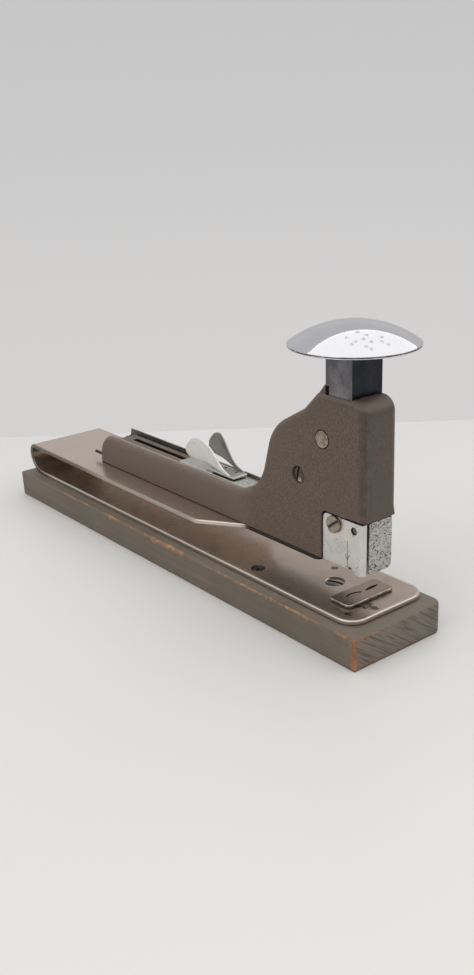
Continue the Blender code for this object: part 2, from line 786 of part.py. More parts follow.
def nose_fasteners(casting, near_plate, far_plate):
    """Cheese-head screws on both sides of the nose, and the dowel in its near side."""
    x, z = NOSE_SCREW
    head = (3.85 * MM, 1.4 * MM)
    shank = (0.6 * MM, 6.5 * MM)
    made = []
    for name, sign, plate in (("near", -1, near_plate), ("far", 1, far_plate)):
        seat = (x, sign * (NOSE_HALF_WIDTH + GAP), z)
        slot = (0.45 * MM, 0.7 * MM, math.radians(-38 * sign))
        made.append(
            fastener(
                f"nose_screw_{name}", seat, (0, sign, 0), head, shank, NICKEL, (plate, casting),
                countersunk=False, slot=slot,
            )
        )
    x, z = NOSE_DOWEL
    end = 2 * MM
    made.append(
        rod("nose_dowel", (x, -NOSE_HALF_WIDTH + 0.3 * MM, z), (x, end, z), NOSE_DOWEL_RADIUS, DARK_STEEL)
    )
    for name, target, first, last in (
        ("near", near_plate, -NOSE_HALF_WIDTH - REACH, -NOSE_HALF_WIDTH + NOSE_SHEET + REACH),
        ("front", far_plate, NOSE_FRONT_NEAR_Y - REACH, end + GAP),
    ):
        cut(target, rod(f"nose_dowel_hole_{name}", (x, first, z), (x, last, z), NOSE_DOWEL_RADIUS + GAP))
    return made


def channel_section(name, low, high, thick, open_side, material):
    """A sheet channel along x that is open upwards (1) or downwards (-1)."""
    shell = box(name, low, high, material)
    reach = REACH * open_side
    inner_low = Vector((low[0] - REACH, low[1] + thick, low[2] + thick))
    inner_high = Vector((high[0] + REACH, high[1] - thick, high[2] + reach))
    if open_side < 0:
        inner_low.z = low[2] + reach
        inner_high.z = high[2] - thick
    cut(shell, box(name + "_inside", inner_low, inner_high))
    return shell


def magazine_channel():
    """Channel that lines the trough and guides the staples' legs."""
    low = (TROUGH_REAR_X + 1 * MM, -CHANNEL_HALF_WIDTH, TROUGH_FLOOR + GAP)
    high = (MAGAZINE_FRONT_X, CHANNEL_HALF_WIDTH, CHANNEL_TOP)
    return channel_section("magazine_channel", low, high, SHEET, 1, DARK_STEEL)


def core_rail():
    """Rail inside the channel that the staples and the pusher straddle."""
    low = (CORE_REAR_X, -CORE_HALF_WIDTH, TROUGH_FLOOR + GAP + SHEET + GAP)
    high = (MAGAZINE_FRONT_X, CORE_HALF_WIDTH, CORE_TOP)
    rail = channel_section("core_rail", low, high, SHEET, -1, DARK_STEEL)
    slot_half = 1.5 * MM
    slot = box(
        "core_rail_slot",
        (CORE_REAR_X + 7 * MM, -slot_half, CORE_TOP - SHEET - REACH),
        (STAPLE_REAR_X - 2 * MM, slot_half, CORE_TOP + REACH),
    )
    cut(rail, slot)
    return rail


def channel_rivets(casting, channel):
    """Rivets that hold the channel down in the trough."""
    head = (2.2 * MM, 0.7 * MM)
    shank = (1.3 * MM, 3.6 * MM)
    seat_z = TROUGH_FLOOR + GAP + SHEET + GAP
    made = []
    for name, x in (("rear", -40 * MM), ("front", 62 * MM)):
        made.append(
            fastener(
                f"channel_rivet_{name}", (x, 0, seat_z), (0, 0, 1), head, shank, SPRING_STEEL,
                (channel, casting), countersunk=False,
            )
        )
    return made


def rear_plug():
    """Block that closes the core rail and holds the guide rod."""
    half = CORE_HALF_WIDTH - SHEET - GAP
    low = (CORE_REAR_X, -half, 38.2 * MM)
    high = (CORE_REAR_X + 4 * MM, half, CORE_TOP - SHEET - GAP)
    plug = box("core_plug", low, high, DARK_STEEL)
    start = (CORE_REAR_X + 1 * MM, 0, ROD_Z)
    end = (high[0] + REACH, 0, ROD_Z)
    cut(plug, rod("core_plug_hole", start, end, ROD_RADIUS + GAP, segments=16))
    return plug


def guide_rod():
    """Rod that carries the pusher's spring."""
    start = (CORE_REAR_X + 1.3 * MM, 0, ROD_Z)
    return rod("guide_rod", start, (15 * MM, 0, ROD_Z), ROD_RADIUS, SPRING_STEEL, segments=16)


def pusher_spring():
    """Spring between the plug and the pusher's lug."""
    wire = 0.3 * MM
    start = CORE_REAR_X + 4.6 * MM
    length = PUSHER_REAR_X - 2 * wire - start
    return coil("pusher_spring", (start, 0, ROD_Z), (1, 0, 0), length, 2.0 * MM, wire, 18, 8, SPRING_STEEL)


def staple_strip():
    """Glued strip of staples, open below."""
    low = Vector((STAPLE_REAR_X, -STAPLE_HALF_CROWN, STAPLE_TOP - STAPLE_LEG))
    high = Vector((MAGAZINE_FRONT_X, STAPLE_HALF_CROWN, STAPLE_TOP))
    strip = box("staple_strip", low, high, STAPLE_STEEL)
    inside_low = low + Vector((-REACH, STAPLE_WIRE, -REACH))
    inside_high = high + Vector((REACH, -STAPLE_WIRE, -STAPLE_WIRE))
    cut(strip, box("staple_strip_inside", inside_low, inside_high))
    return strip


def pusher():
    """Saddle on the core rail, its lug on the guide rod, the plate over the staples and two finger ears."""
    half = STAPLE_HALF_CROWN
    body_front = STAPLE_REAR_X - GAP
    saddle_top = 47.8 * MM
    lug_front = PUSHER_REAR_X + 4 * MM
    low = (PUSHER_REAR_X, -half, 41 * MM)
    body = channel_section("pusher", low, (body_front, half, saddle_top), STAPLE_WIRE, -1, NICKEL)
    riser_low = (11 * MM, -half, saddle_top - 0.4 * MM)
    join(body, box("pusher_riser", riser_low, (body_front - 1 * MM, half, PUSHER_PLATE_TOP)))
    plate = rounded(
        (
            (12 * MM, -PUSHER_PLATE_HALF, 0),
            (PUSHER_FRONT_X, -PUSHER_PLATE_HALF, 0.6 * MM),
            (PUSHER_FRONT_X, PUSHER_PLATE_HALF, 0.6 * MM),
            (12 * MM, PUSHER_PLATE_HALF, 0),
        )
    )
    join(body, slab("pusher_plate", plate, PUSHER_PLATE_LOW, PUSHER_PLATE_TOP))
    neck_half = 1.2 * MM
    lug_half = 3.5 * MM
    join(body, box("pusher_neck", (PUSHER_REAR_X, -neck_half, 44.5 * MM), (lug_front, neck_half, 47.6 * MM)))
    join(body, box("pusher_lug", (PUSHER_REAR_X, -lug_half, 39.2 * MM), (lug_front, lug_half, 45.2 * MM)))
    start = (PUSHER_REAR_X - REACH, 0, ROD_Z)
    end = (lug_front + REACH, 0, ROD_Z)
    cut(body, rod("pusher_rod_hole", start, end, ROD_RADIUS + 2 * GAP, segments=16))
    add_ears(body)
    return body


def add_ears(body):
    """Thin finger ears that rise from the plate and spread apart towards the rear."""
    foot = PUSHER_PLATE_LOW + 0.2 * MM
    outline = rounded(
        (
            (31.0 * MM, foot, 0.0),
            (24.0 * MM, 52.0 * MM, 4.0 * MM),
            (17.0 * MM, 62.4 * MM, 6.0 * MM),
            (6.0 * MM, 64.8 * MM, 4.5 * MM),
            (0.2 * MM, 57.2 * MM, 2.5 * MM),
            (1.6 * MM, 53.4 * MM, 1.2 * MM),
            (14.0 * MM, 52.6 * MM, 4.0 * MM),
            (20.5 * MM, foot, 0.0),
        )
    )
    thick = 0.45 * MM
    hinge_x = 27.0 * MM
    for name, sign in (("near", -1), ("far", 1)):
        tab = slab(f"pusher_ear_{name}", outline, -thick, thick, upright=True)
        turn = Matrix.Rotation(sign * math.radians(-6), 4, "Z")
        stand = Matrix.Translation((hinge_x, sign * 4.2 * MM, 0))
        tab.matrix_world = stand @ turn @ Matrix.Translation((-hinge_x, 0, 0)) @ tab.matrix_world
        join(body, tab)


def latch_pin(casting):
    """Small pin that stands out of the arm's rear face."""
    y, z = -8.0 * MM, 35.0 * MM
    radius = 0.8 * MM
    seated = HEAD_REAR_X + 5 * MM
    hole_start = (HEAD_REAR_X - REACH, y, z)
    cut(casting, rod("latch_pin_hole", hole_start, (seated + GAP, y, z), radius + GAP, segments=16))
    return rod("latch_pin", (HEAD_REAR_X - 7.1 * MM, y, z), (seated, y, z), radius, DARK_STEEL, segments=16)


def build():
    """Make all pieces and hang the moving ones on their joints."""
    wood = wood_base()
    strip = base_strip()
    anvil_plate()
    base_screws(wood, strip)

    casting = head_casting()
    leaf = leaf_spring()
    channel = magazine_channel()
    near_plate = nose_side_plate()
    far_plate = nose_front_plate()
    head = [casting, leaf, channel, near_plate, far_plate]
    head += [core_rail(), rear_plug(), guide_rod(), staple_strip()]
    head += leaf_screws(casting, leaf)
    head += channel_rivets(casting, channel)
    head += nose_fasteners(casting, near_plate, far_plate)
    head += [stop_pin(casting), body_screw(casting), spring_post(casting), latch_pin(casting)]
    head += [return_spring(), pusher_spring()]

    bar = plunger()
    blade = driver_blade()
    dome = knob()
    moving = [bar, blade, dome, knob_stud(bar, dome)] + driver_rivets(bar, blade)

    pivot("head_press_axis", (LEAF_ROOT_X, 0, LEAF_TOP - STRIP_THICK / 2), head)
    pivot("plunger_axis", (PLUNGER_X, 0, PLUNGER_BOTTOM), moving)
    pivot("pusher_axis", (PUSHER_REAR_X, 0, ROD_Z), [pusher()])


build()
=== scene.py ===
"""Looks of a long-reach palm stapler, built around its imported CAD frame."""

import math

import bpy
import bmesh
import numpy as np
from mathutils import Matrix, Quaternion, Vector, noise


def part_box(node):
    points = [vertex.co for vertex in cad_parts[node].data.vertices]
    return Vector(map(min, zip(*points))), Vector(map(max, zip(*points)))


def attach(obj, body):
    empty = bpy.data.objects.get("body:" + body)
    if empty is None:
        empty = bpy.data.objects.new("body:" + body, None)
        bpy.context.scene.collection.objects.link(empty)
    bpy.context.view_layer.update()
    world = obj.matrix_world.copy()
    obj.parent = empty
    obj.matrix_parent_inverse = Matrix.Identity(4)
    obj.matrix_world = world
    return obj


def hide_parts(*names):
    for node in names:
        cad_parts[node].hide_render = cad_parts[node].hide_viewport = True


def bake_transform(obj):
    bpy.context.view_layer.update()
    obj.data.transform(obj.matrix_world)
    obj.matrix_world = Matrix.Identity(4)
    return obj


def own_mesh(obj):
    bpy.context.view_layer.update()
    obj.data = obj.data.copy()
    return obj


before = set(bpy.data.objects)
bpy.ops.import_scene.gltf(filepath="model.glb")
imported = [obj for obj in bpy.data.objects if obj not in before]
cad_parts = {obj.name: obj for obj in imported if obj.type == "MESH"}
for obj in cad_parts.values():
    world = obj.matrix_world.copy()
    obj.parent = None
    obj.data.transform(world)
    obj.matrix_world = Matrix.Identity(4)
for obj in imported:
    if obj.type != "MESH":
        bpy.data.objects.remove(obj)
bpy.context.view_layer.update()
MM = 0.001


# ---------------------------------------------------------------- materials

ENAMEL_DARK = (0.066, 0.042, 0.027)
ENAMEL_LIGHT = (0.131, 0.088, 0.06)
PAINT_DARK = (0.132, 0.104, 0.076)
PAINT_LIGHT = (0.165, 0.134, 0.102)
END_PAINT = (0.195, 0.16, 0.127)
TABLE_PAINT = ((0.655, 0.648, 0.625), (0.69, 0.683, 0.665))
WALL_LOW = (0.655, 0.645, 0.64)
WALL_HIGH = (0.575, 0.57, 0.575)
WALL_UPPER = (0.65, 0.645, 0.67)
ROOM = (0.304, 0.307, 0.32)
STRIP_TINT = (0.48, 0.385, 0.31)
CHROME_TINT = (0.605, 0.605, 0.625)
BLUED_SIDE = (0.185, 0.18, 0.185)
KNOB_PITS = [
    (0.1199, -0.0087, 0.1319), (0.1194, -0.0142, 0.1306), (0.1235, -0.0076, 0.1311),
    (0.1245, -0.0103, 0.1302), (0.1234, -0.0137, 0.1296), (0.1236, -0.0157, 0.1288),
    (0.1274, -0.0092, 0.1293), (0.1272, -0.0034, 0.1302), (0.1293, -0.0053, 0.1291),
    (0.1281, -0.0123, 0.1282), (0.13, -0.0116, 0.1274), (0.1315, -0.0041, 0.1281),
]


def shade_of(colour, share):
    return tuple(c * share for c in colour)


class Surface:
    """A Principled material and the short calls that wire its nodes."""

    def __init__(self, name, metallic=0.0, specular=0.5):
        self.material = bpy.data.materials.new(name)
        self.material.use_nodes = True
        self.tree = self.material.node_tree
        self.shader = self.tree.nodes["Principled BSDF"]
        self.shader.inputs["Metallic"].default_value = metallic
        self.shader.inputs["Specular IOR Level"].default_value = specular
        self.place = self.node("ShaderNodeTexCoord").outputs["Object"]

    @classmethod
    def around(cls, world):
        """The same calls for the surroundings, where the place is the direction looked in."""
        made = cls.__new__(cls)
        made.tree = world.node_tree
        made.place = made.node("ShaderNodeTexCoord").outputs["Generated"]
        return made

    def node(self, kind, **settings):
        made = self.tree.nodes.new(kind)
        for key, value in settings.items():
            setattr(made, key, value)
        return made

    def wire(self, value, socket):
        if isinstance(value, bpy.types.NodeSocket):
            self.tree.links.new(value, socket)
        elif isinstance(value, (tuple, list)):
            full = tuple(value) + (1.0,) if len(value) == 3 and socket.type == "RGBA" else tuple(value)
            socket.default_value = full
        else:
            socket.default_value = value

    def math(self, operation, *values, clamp=False):
        made = self.node("ShaderNodeMath", operation=operation, use_clamp=clamp)
        for value, socket in zip(values, made.inputs):
            self.wire(value, socket)
        return made.outputs[0]

    def times(self, first, second):
        return self.math("MULTIPLY", first, second)

    def plus(self, first, second):
        return self.math("ADD", first, second)

    def minus(self, first, second):
        return self.math("SUBTRACT", first, second)

    def most(self, first, second):
        return self.math("MAXIMUM", first, second)

    def size(self, value):
        return self.math("ABSOLUTE", value)

    def step(self, value, low, high, first=0.0, last=1.0):
        """Smooth step from first to last as value goes from low to high."""
        made = self.node("ShaderNodeMapRange", interpolation_type="SMOOTHSTEP")
        for item, socket in zip((value, low, high, first, last), made.inputs):
            self.wire(item, socket)
        return made.outputs[0]

    def mix(self, factor, first, second, blend="MIX"):
        made = self.node("ShaderNodeMix", data_type="RGBA", blend_type=blend)
        self.wire(factor, made.inputs["Factor"])
        self.wire(first, made.inputs[6])
        self.wire(second, made.inputs[7])
        return made.outputs[2]

    def axes(self, vector=None):
        made = self.node("ShaderNodeSeparateXYZ")
        self.wire(vector or self.place, made.inputs[0])
        return made.outputs

    def vector(self, x, y, z):
        made = self.node("ShaderNodeCombineXYZ")
        for value, socket in zip((x, y, z), made.inputs):
            self.wire(value, socket)
        return made.outputs[0]

    def stretched(self, scale, turn=(0, 0, 0)):
        made = self.node("ShaderNodeMapping")
        self.wire(self.place, made.inputs["Vector"])
        made.inputs["Rotation"].default_value = turn
        made.inputs["Scale"].default_value = scale
        return made.outputs[0]

    def noise(self, scale, detail=3.0, rough=0.55, vector=None, distortion=0.0):
        made = self.node("ShaderNodeTexNoise")
        self.wire(vector or self.place, made.inputs["Vector"])
        made.inputs["Scale"].default_value = scale
        made.inputs["Detail"].default_value = detail
        made.inputs["Roughness"].default_value = rough
        made.inputs["Distortion"].default_value = distortion
        return made.outputs["Fac"]

    def attribute(self, name):
        return self.node("ShaderNodeAttribute", attribute_name=name).outputs["Fac"]

    def normal_axes(self):
        return self.axes(self.node("ShaderNodeNewGeometry").outputs["Normal"])

    def spots(self, places, size, soft):
        """1 inside any of the places (x, y, z), fading out from size to size + soft."""
        found = None
        for place in places:
            away = self.node("ShaderNodeVectorMath", operation="DISTANCE")
            self.wire(self.place, away.inputs[0])
            away.inputs[1].default_value = place
            one = self.step(away.outputs["Value"], size, size + soft, 1.0, 0.0)
            found = one if found is None else self.most(found, one)
        return found

    def bump(self, height, distance, strength=1.0, under=None):
        made = self.node("ShaderNodeBump")
        made.inputs["Strength"].default_value = strength
        made.inputs["Distance"].default_value = distance
        self.wire(height, made.inputs["Height"])
        if under is not None:
            self.wire(under, made.inputs["Normal"])
        return made.outputs[0]

    def finish(self, colour, roughness, normal=None):
        self.wire(colour, self.shader.inputs["Base Color"])
        self.wire(roughness, self.shader.inputs["Roughness"])
        if normal is not None:
            self.wire(normal, self.shader.inputs["Normal"])
        return self.material


def enamel():
    """Satin taupe enamel with a fine wrinkle, worn and slightly greasy; painted light on the arm, its upward
    faces, the head's brow and the trough's crest, and painted shade on the front faces, the near front corner
    and the plunger's foot.
    """
    s = Surface("enamel", specular=0.55)
    wrinkle = s.noise(2400, 4, 0.6)
    mottle = s.noise(1.0, 4, 0.65, s.stretched((1700, 1700, 900)))
    cloud = s.noise(26, 3, 0.5)
    x, y, z = s.axes()
    nx, ny, nz = s.normal_axes()
    colour = s.mix(s.step(mottle, 0.36, 0.64), ENAMEL_DARK, ENAMEL_LIGHT)
    colour = s.mix(s.step(cloud, 0.35, 0.7, 0.0, 0.3), colour, (0.085, 0.066, 0.05))
    # painted shade: faces that look forward (+x) are made darker
    ahead = s.step(nx, 0.35, 0.8)
    colour = s.mix(s.times(ahead, 0.3), colour, (0.066, 0.056, 0.05))
    # painted shade: the rounded corner between the front and the near side is made darker
    corner = s.times(s.step(nx, 0.05, 0.5), s.step(nx, 0.75, 0.98, 1.0, 0.0))
    corner = s.times(corner, s.step(ny, -0.35, -0.6, 0.0, 1.0))
    colour = s.mix(s.times(corner, 0.55), colour, (0.036, 0.028, 0.023))
    grime = s.step(s.noise(1100, 5, 0.7), 0.6, 0.74, 0.0, 0.5)
    colour = s.mix(grime, colour, (0.05, 0.04, 0.033))
    pale = s.step(s.noise(1300, 3, 0.6, s.stretched((1.0, 1.1, 0.9))), 0.64, 0.74, 0.0, 0.3)
    colour = s.mix(pale, colour, (0.2, 0.165, 0.135))
    # painted light: the whole arm is made lighter than the head, its upward faces lighter still, and the
    # head's brow gets a painted sheen
    arm = s.step(x, 0.04, 0.06, 1.0, 0.0)
    lit_top = s.times(s.step(nz, 0.5, 0.9), s.step(x, 0.04, 0.06, 0.3, 0.0))
    brow_sheen = s.times(s.times(s.step(nz, 0.2, 0.6), s.step(nz, 0.8, 0.97, 0.4, 0.0)), s.step(z, 0.09, 0.1))
    colour = s.mix(s.times(arm, 0.36), colour, (0.17, 0.125, 0.093))
    colour = s.mix(s.most(lit_top, brow_sheen), colour, (0.2, 0.155, 0.12))
    # painted highlight: a lighter line along the inner top edge of the arm's near wall
    crest_highlight = s.step(s.size(s.plus(y, 0.0071)), 0.0003, 0.0007, 1.0, 0.0)
    crest_highlight = s.times(crest_highlight, s.times(s.step(z, 0.0467, 0.0473), s.step(x, 0.035, 0.052, 1.0, 0.0)))
    colour = s.mix(s.times(crest_highlight, 0.75), colour, (0.38, 0.31, 0.25))
    # painted shade: near-black spots on the casting's top at the front of the plunger's foot
    at_bore = [(0.1175, -0.006, 0.1046), (0.1172, 0.0005, 0.1046), (0.1174, 0.006, 0.1046)]
    foot = s.spots(at_bore, 0.0009, 0.0016)
    plunger_foot_shade = s.times(foot, s.step(s.noise(900, 2), 0.44, 0.52))
    colour = s.mix(plunger_foot_shade, colour, (0.01, 0.01, 0.011))
    rub = s.times(s.attribute("edge"), s.step(s.noise(330, 5, 0.7), 0.45, 0.7))
    colour = s.mix(s.times(rub, 0.3), colour, (0.2, 0.17, 0.14))
    grit = s.plus(s.times(mottle, 0.6), s.times(wrinkle, 0.4))
    rough = s.step(grit, 0.3, 0.7, 0.42, 0.58)
    fine = s.bump(wrinkle, 0.00006, 0.8)
    return s.finish(colour, rough, s.bump(mottle, 0.00012, 0.7, fine))


def painted_wood():
    """Grey paint over brown wood, worn through along the edges, with grain showing on the ends, painted light
    on its upward faces and a painted contact shadow at its foot.
    """
    rear_face, near_face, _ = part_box("wood_base")[0]
    front_face, far_face, top_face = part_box("wood_base")[1]
    s = Surface("painted_wood", specular=0.4)
    x, y, z = s.axes()
    nx, _, nz = s.normal_axes()
    ends = s.step(s.size(nx), 0.6, 0.9)
    lit_top = s.step(nz, 0.6, 0.9)
    grain = s.noise(1.0, 5, 0.6, s.stretched((9, 420, 420)))
    blotch = s.noise(38, 4, 0.6)
    fleck = s.noise(900, 3, 0.6)
    paint = s.mix(s.step(blotch, 0.35, 0.7), PAINT_DARK, PAINT_LIGHT)
    paint = s.mix(s.step(grain, 0.42, 0.62, 0.0, 0.35), paint, (0.105, 0.088, 0.068))
    paint = s.mix(s.step(fleck, 0.62, 0.72, 0.0, 0.3), paint, (0.24, 0.21, 0.175))
    lean = math.radians(35)
    down_grain = s.minus(s.times(y, 70 * math.cos(lean)), s.times(z, 70 * math.sin(lean)))
    over_grain = s.plus(s.times(y, 1500 * math.sin(lean)), s.times(z, 1500 * math.cos(lean)))
    rings = s.noise(1.0, 3, 0.5, s.vector(s.times(x, 30), down_grain, over_grain), distortion=0.3)
    dark_ring = s.step(rings, 0.52, 0.62)
    pale_ring = s.step(rings, 0.42, 0.36, 0.0, 0.4)
    end_paint = s.mix(s.times(dark_ring, 0.6), END_PAINT, (0.05, 0.038, 0.03))
    end_paint = s.mix(pale_ring, end_paint, (0.24, 0.205, 0.165))
    paint = s.mix(ends, paint, end_paint)
    bare = s.mix(s.step(grain, 0.35, 0.65), (0.37, 0.19, 0.09), (0.2, 0.1, 0.05))
    wood_light = s.step(s.noise(240, 3), 0.5, 0.72, 0.0, 0.6)
    bare = s.mix(wood_light, bare, (0.5, 0.31, 0.17))
    bare = s.mix(s.step(x, 0.128, 0.136, 0.0, 0.45), bare, (0.2, 0.075, 0.03))

    def rim(distance, width):
        return s.math("SUBTRACT", 1.0, s.math("DIVIDE", distance, width), clamp=True)

    def from_edge(first, second):
        squares = s.plus(s.times(first, first), s.times(second, second))
        return s.math("SQRT", squares)

    down = s.minus(top_face, z)
    side = s.minus(y, near_face)
    front = s.minus(front_face, x)
    run = s.noise(48, 3, 0.6, s.vector(x, 0.3, 0.1))
    patches = s.step(run, 0.38, 0.58, 0.35, 1.0)
    middle = s.step(s.size(s.minus(x, 0.014)), 0.012, 0.04, 1.0, 0.0)
    forward = s.step(x, 0.09, 0.134)
    rear = s.step(x, -0.115, -0.08)
    back_patch = s.step(s.size(s.plus(x, 0.05)), 0.008, 0.02, 1.0, 0.0)
    middle = s.most(middle, back_patch)
    amount = s.most(middle, s.times(forward, 0.95))
    amount = s.most(s.times(amount, patches), s.step(run, 0.3, 0.55, 0.4, 0.7))
    amount = s.times(amount, rear)
    broad = s.times(s.step(amount, 0.7, 0.95), s.step(s.noise(150, 3), 0.46, 0.6, 0.0, 0.0024))
    near_top = s.times(rim(from_edge(down, side), s.plus(broad, 0.0024)), amount)
    near_low = s.times(rim(from_edge(z, side), 0.002), s.times(forward, 0.7))
    post = rim(from_edge(front, side), 0.0046)
    post = s.times(post, s.step(s.noise(260, 3, 0.6), 0.36, 0.56, 0.5, 1.0))
    end_top = s.times(rim(from_edge(front, down), 0.0016), s.step(y, -0.02, -0.004, 0.85, 0.45))
    end_low = s.times(rim(from_edge(front, z), 0.0022), 0.75)
    far_top = s.times(rim(from_edge(down, s.minus(far_face, y)), 0.0022), patches)
    back = s.times(rim(from_edge(down, s.minus(x, rear_face)), 0.0022), 0.5)
    wear = near_top
    for other in (near_low, post, end_top, end_low, s.times(far_top, 0.7), back):
        wear = s.most(wear, other)
    ragged = s.plus(s.times(s.noise(420, 5, 0.75), 0.75), s.times(grain, 0.25))
    ragged = s.times(s.minus(ragged, 0.5), 1.9)
    bareness = s.step(s.plus(wear, ragged), 0.44, 0.54)
    bareness = s.times(bareness, s.step(wear, 0.0, 0.12))
    chips = s.times(s.step(s.noise(420, 2, 0.5), 0.735, 0.77), s.step(z, 0.006, 0.014, 0.25, 0.9))
    bareness = s.most(bareness, chips)
    colour = s.mix(bareness, paint, bare)
    scratches = s.noise(1.0, 3, 0.6, s.stretched((700, 2600, 260), (math.radians(20), 0, math.radians(30))))
    scratched = s.times(s.step(scratches, 0.6, 0.68), rim(from_edge(front, side), 0.008))
    colour = s.mix(scratched, colour, (0.36, 0.3, 0.24))
    # painted light: upward faces are made a little lighter
    colour = s.mix(s.times(lit_top, 0.12), colour, (0.3, 0.27, 0.24))
    # painted shadow: darker towards the table at the foot of the block
    contact_shadow = s.step(z, 0.0, 0.0011, 0.55, 0.0)
    colour = s.mix(contact_shadow, colour, (0.055, 0.042, 0.034))
    rough = s.plus(s.step(blotch, 0.3, 0.7, 0.46, 0.58), s.times(bareness, 0.2))
    threads = s.plus(s.times(grain, 0.5), s.times(fleck, 0.2))
    relief = s.bump(threads, 0.00018, 0.5)
    relief = s.bump(s.times(rings, ends), 0.0004, 0.6, relief)
    return s.finish(colour, rough, s.bump(s.minus(1.0, bareness), 0.00014, 0.8, relief))


def strip_steel(name="strip_steel", tint=STRIP_TINT, stains=(), folded=True):
    """Tarnished satin steel with worn edges; on the strip the rounded edges carry a painted highlight where
    light catches them and painted shade elsewhere, the leaf painted light on top and below, and painted shade
    on its tongue.
    """
    s = Surface(name, metallic=0.88)
    x, _, z = s.axes()
    nz = s.normal_axes()[2]
    fine = s.noise(1.0, 4, 0.6, s.stretched((160, 1500, 1500)))
    blotch = s.noise(60, 2.5, 0.5)
    speck = s.noise(950, 2, 0.5)
    dark = shade_of(tint, 0.86)
    colour = s.mix(s.step(blotch, 0.3, 0.72), dark, tint)
    colour = s.mix(s.step(fine, 0.4, 0.7, 0.0, 0.25), colour, shade_of(tint, 0.7))
    colour = s.mix(s.step(speck, 0.7, 0.76, 0.0, 0.2), colour, (0.2, 0.16, 0.13))
    if stains:
        stain = s.times(s.spots(stains, 0.001, 0.0016), s.step(s.noise(700, 4, 0.6), 0.4, 0.5))
        colour = s.mix(s.times(stain, 0.9), colour, (0.045, 0.036, 0.03))
    broken = s.step(s.noise(130, 4, 0.6), 0.2, 0.5, 0.82, 1.0)
    edge = s.times(s.attribute("edge"), broken)
    if folded:
        leaf = s.attribute("leaf")
        # painted light: the leaf's upward faces (lit) and its underside are made lighter
        lit = s.times(leaf, s.step(nz, 0.3, 0.9, 0.0, 0.7))
        colour = s.mix(lit, colour, (0.62, 0.51, 0.42))
        below = s.times(leaf, s.step(nz, -0.9, -0.3, 0.6, 0.0))
        colour = s.mix(below, colour, (0.66, 0.53, 0.42))
        # painted highlight and painted shade on the rounded edges: where here is high, light catches the edge
        # and it stays bright; elsewhere the edge is painted dark
        bend = s.step(x, -0.13, -0.122, 0.0, 1.0)
        upper = s.plus(s.step(x, -0.085, -0.05, 0.02, 0.32), s.step(x, 0.02, 0.034, 0.0, 0.3))
        upper = s.times(upper, s.step(x, 0.046, 0.05, 1.0, 0.0))
        top_line = s.step(z, 0.0154, 0.0159, 0.5, 1.0)
        lower = s.times(top_line, s.step(x, -0.125, -0.11, 0.3, 1.0))
        here = s.plus(s.times(leaf, upper), s.times(s.minus(1.0, leaf), lower))
        here = s.times(here, bend)
        edge_shade = s.times(s.attribute("edge"), s.minus(1.0, here))
        colour = s.mix(s.times(edge_shade, 0.85), colour, (0.075, 0.06, 0.05))
        # painted shade on the leaf's tongue under the head
        tongue = s.times(leaf, s.step(x, 0.046, 0.052))
        colour = s.mix(tongue, colour, (0.04, 0.033, 0.028))
        edge = s.times(edge, here)
    else:
        # painted shade with dirt: the anvil's upright sides are made darker
        side = s.step(s.size(nz), 0.25, 0.6, 1.0, 0.0)
        colour = s.mix(s.times(side, 0.85), colour, (0.06, 0.05, 0.042))
        edge = s.times(edge, s.step(s.noise(300, 3), 0.4, 0.6, 0.25, 0.8))
    # bright edges: on the strip a painted highlight over wear, on the anvil its worn rim
    colour = s.mix(edge, colour, (0.82, 0.76, 0.66))
    rough = s.plus(s.step(blotch, 0.3, 0.75, 0.28, 0.24), s.times(edge, 0.12))
    relief = s.bump(s.plus(s.times(fine, 0.6), s.times(speck, 0.3)), 0.00001, 0.5)
    return s.finish(colour, rough, relief)


def nickel(name="nickel", specks=0.6, tint=(0.74, 0.725, 0.69), rough=0.3, curls=0.0, mottled=0.0,
           without_painted_shade=True):
    """Dull nickel plate with pits, small dark specks and, where it is corroded, curled marks, and for the
    ears painted shade on the far ear's inner face and the plate's top.
    """
    s = Surface(name, metallic=0.94)
    cloud = s.noise(90, 4, 0.6)
    grain = s.noise(1.0, 3, 0.6, s.stretched((500, 500, 2400)))
    pits = s.noise(1250, 3, 0.6)
    big = s.noise(480, 2, 0.5)
    colour = s.mix(s.step(cloud, 0.3, 0.7), shade_of(tint, 0.86), tint)
    marks = s.most(s.step(pits, 0.6, 0.67), s.step(big, 0.66, 0.72))
    patches = s.step(s.noise(160, 2), 0.4, 0.6)
    marks = s.times(marks, s.times(patches, specks))
    if curls:
        level = s.size(s.minus(s.noise(620, 2, 0.5, distortion=0.6), 0.5))
        curl = s.times(s.step(level, 0.016, 0.04, 1.0, 0.0), s.step(s.noise(210, 3), 0.34, 0.48))
        marks = s.most(marks, s.times(curl, curls))
    if mottled:
        stain = s.step(s.noise(520, 4, 0.65), 0.42, 0.62, 0.0, mottled)
        colour = s.mix(stain, colour, (0.2, 0.16, 0.12))
    # painted shade: the far ear's inner face and the plate's top between the ears are made darker
    if not without_painted_shade:
        _, y, z = s.axes()
        _, ny, nz = s.normal_axes()
        far = s.times(s.step(y, 0.0025, 0.0037), s.step(ny, -0.25, 0.1, 0.8, 0.0))
        flat = s.times(s.step(nz, 0.6, 0.9), s.step(z, 0.0493, 0.0497, 0.5, 0.0))
        colour = s.mix(s.most(far, flat), colour, (0.22, 0.205, 0.19))
    colour = s.mix(marks, colour, (0.1, 0.09, 0.075))
    roughness = s.plus(s.step(cloud, 0.3, 0.7, rough, rough + 0.12), s.times(marks, 0.25))
    relief = s.bump(s.minus(s.times(grain, 0.35), marks), 0.00006, 0.6)
    return s.finish(colour, roughness, relief)


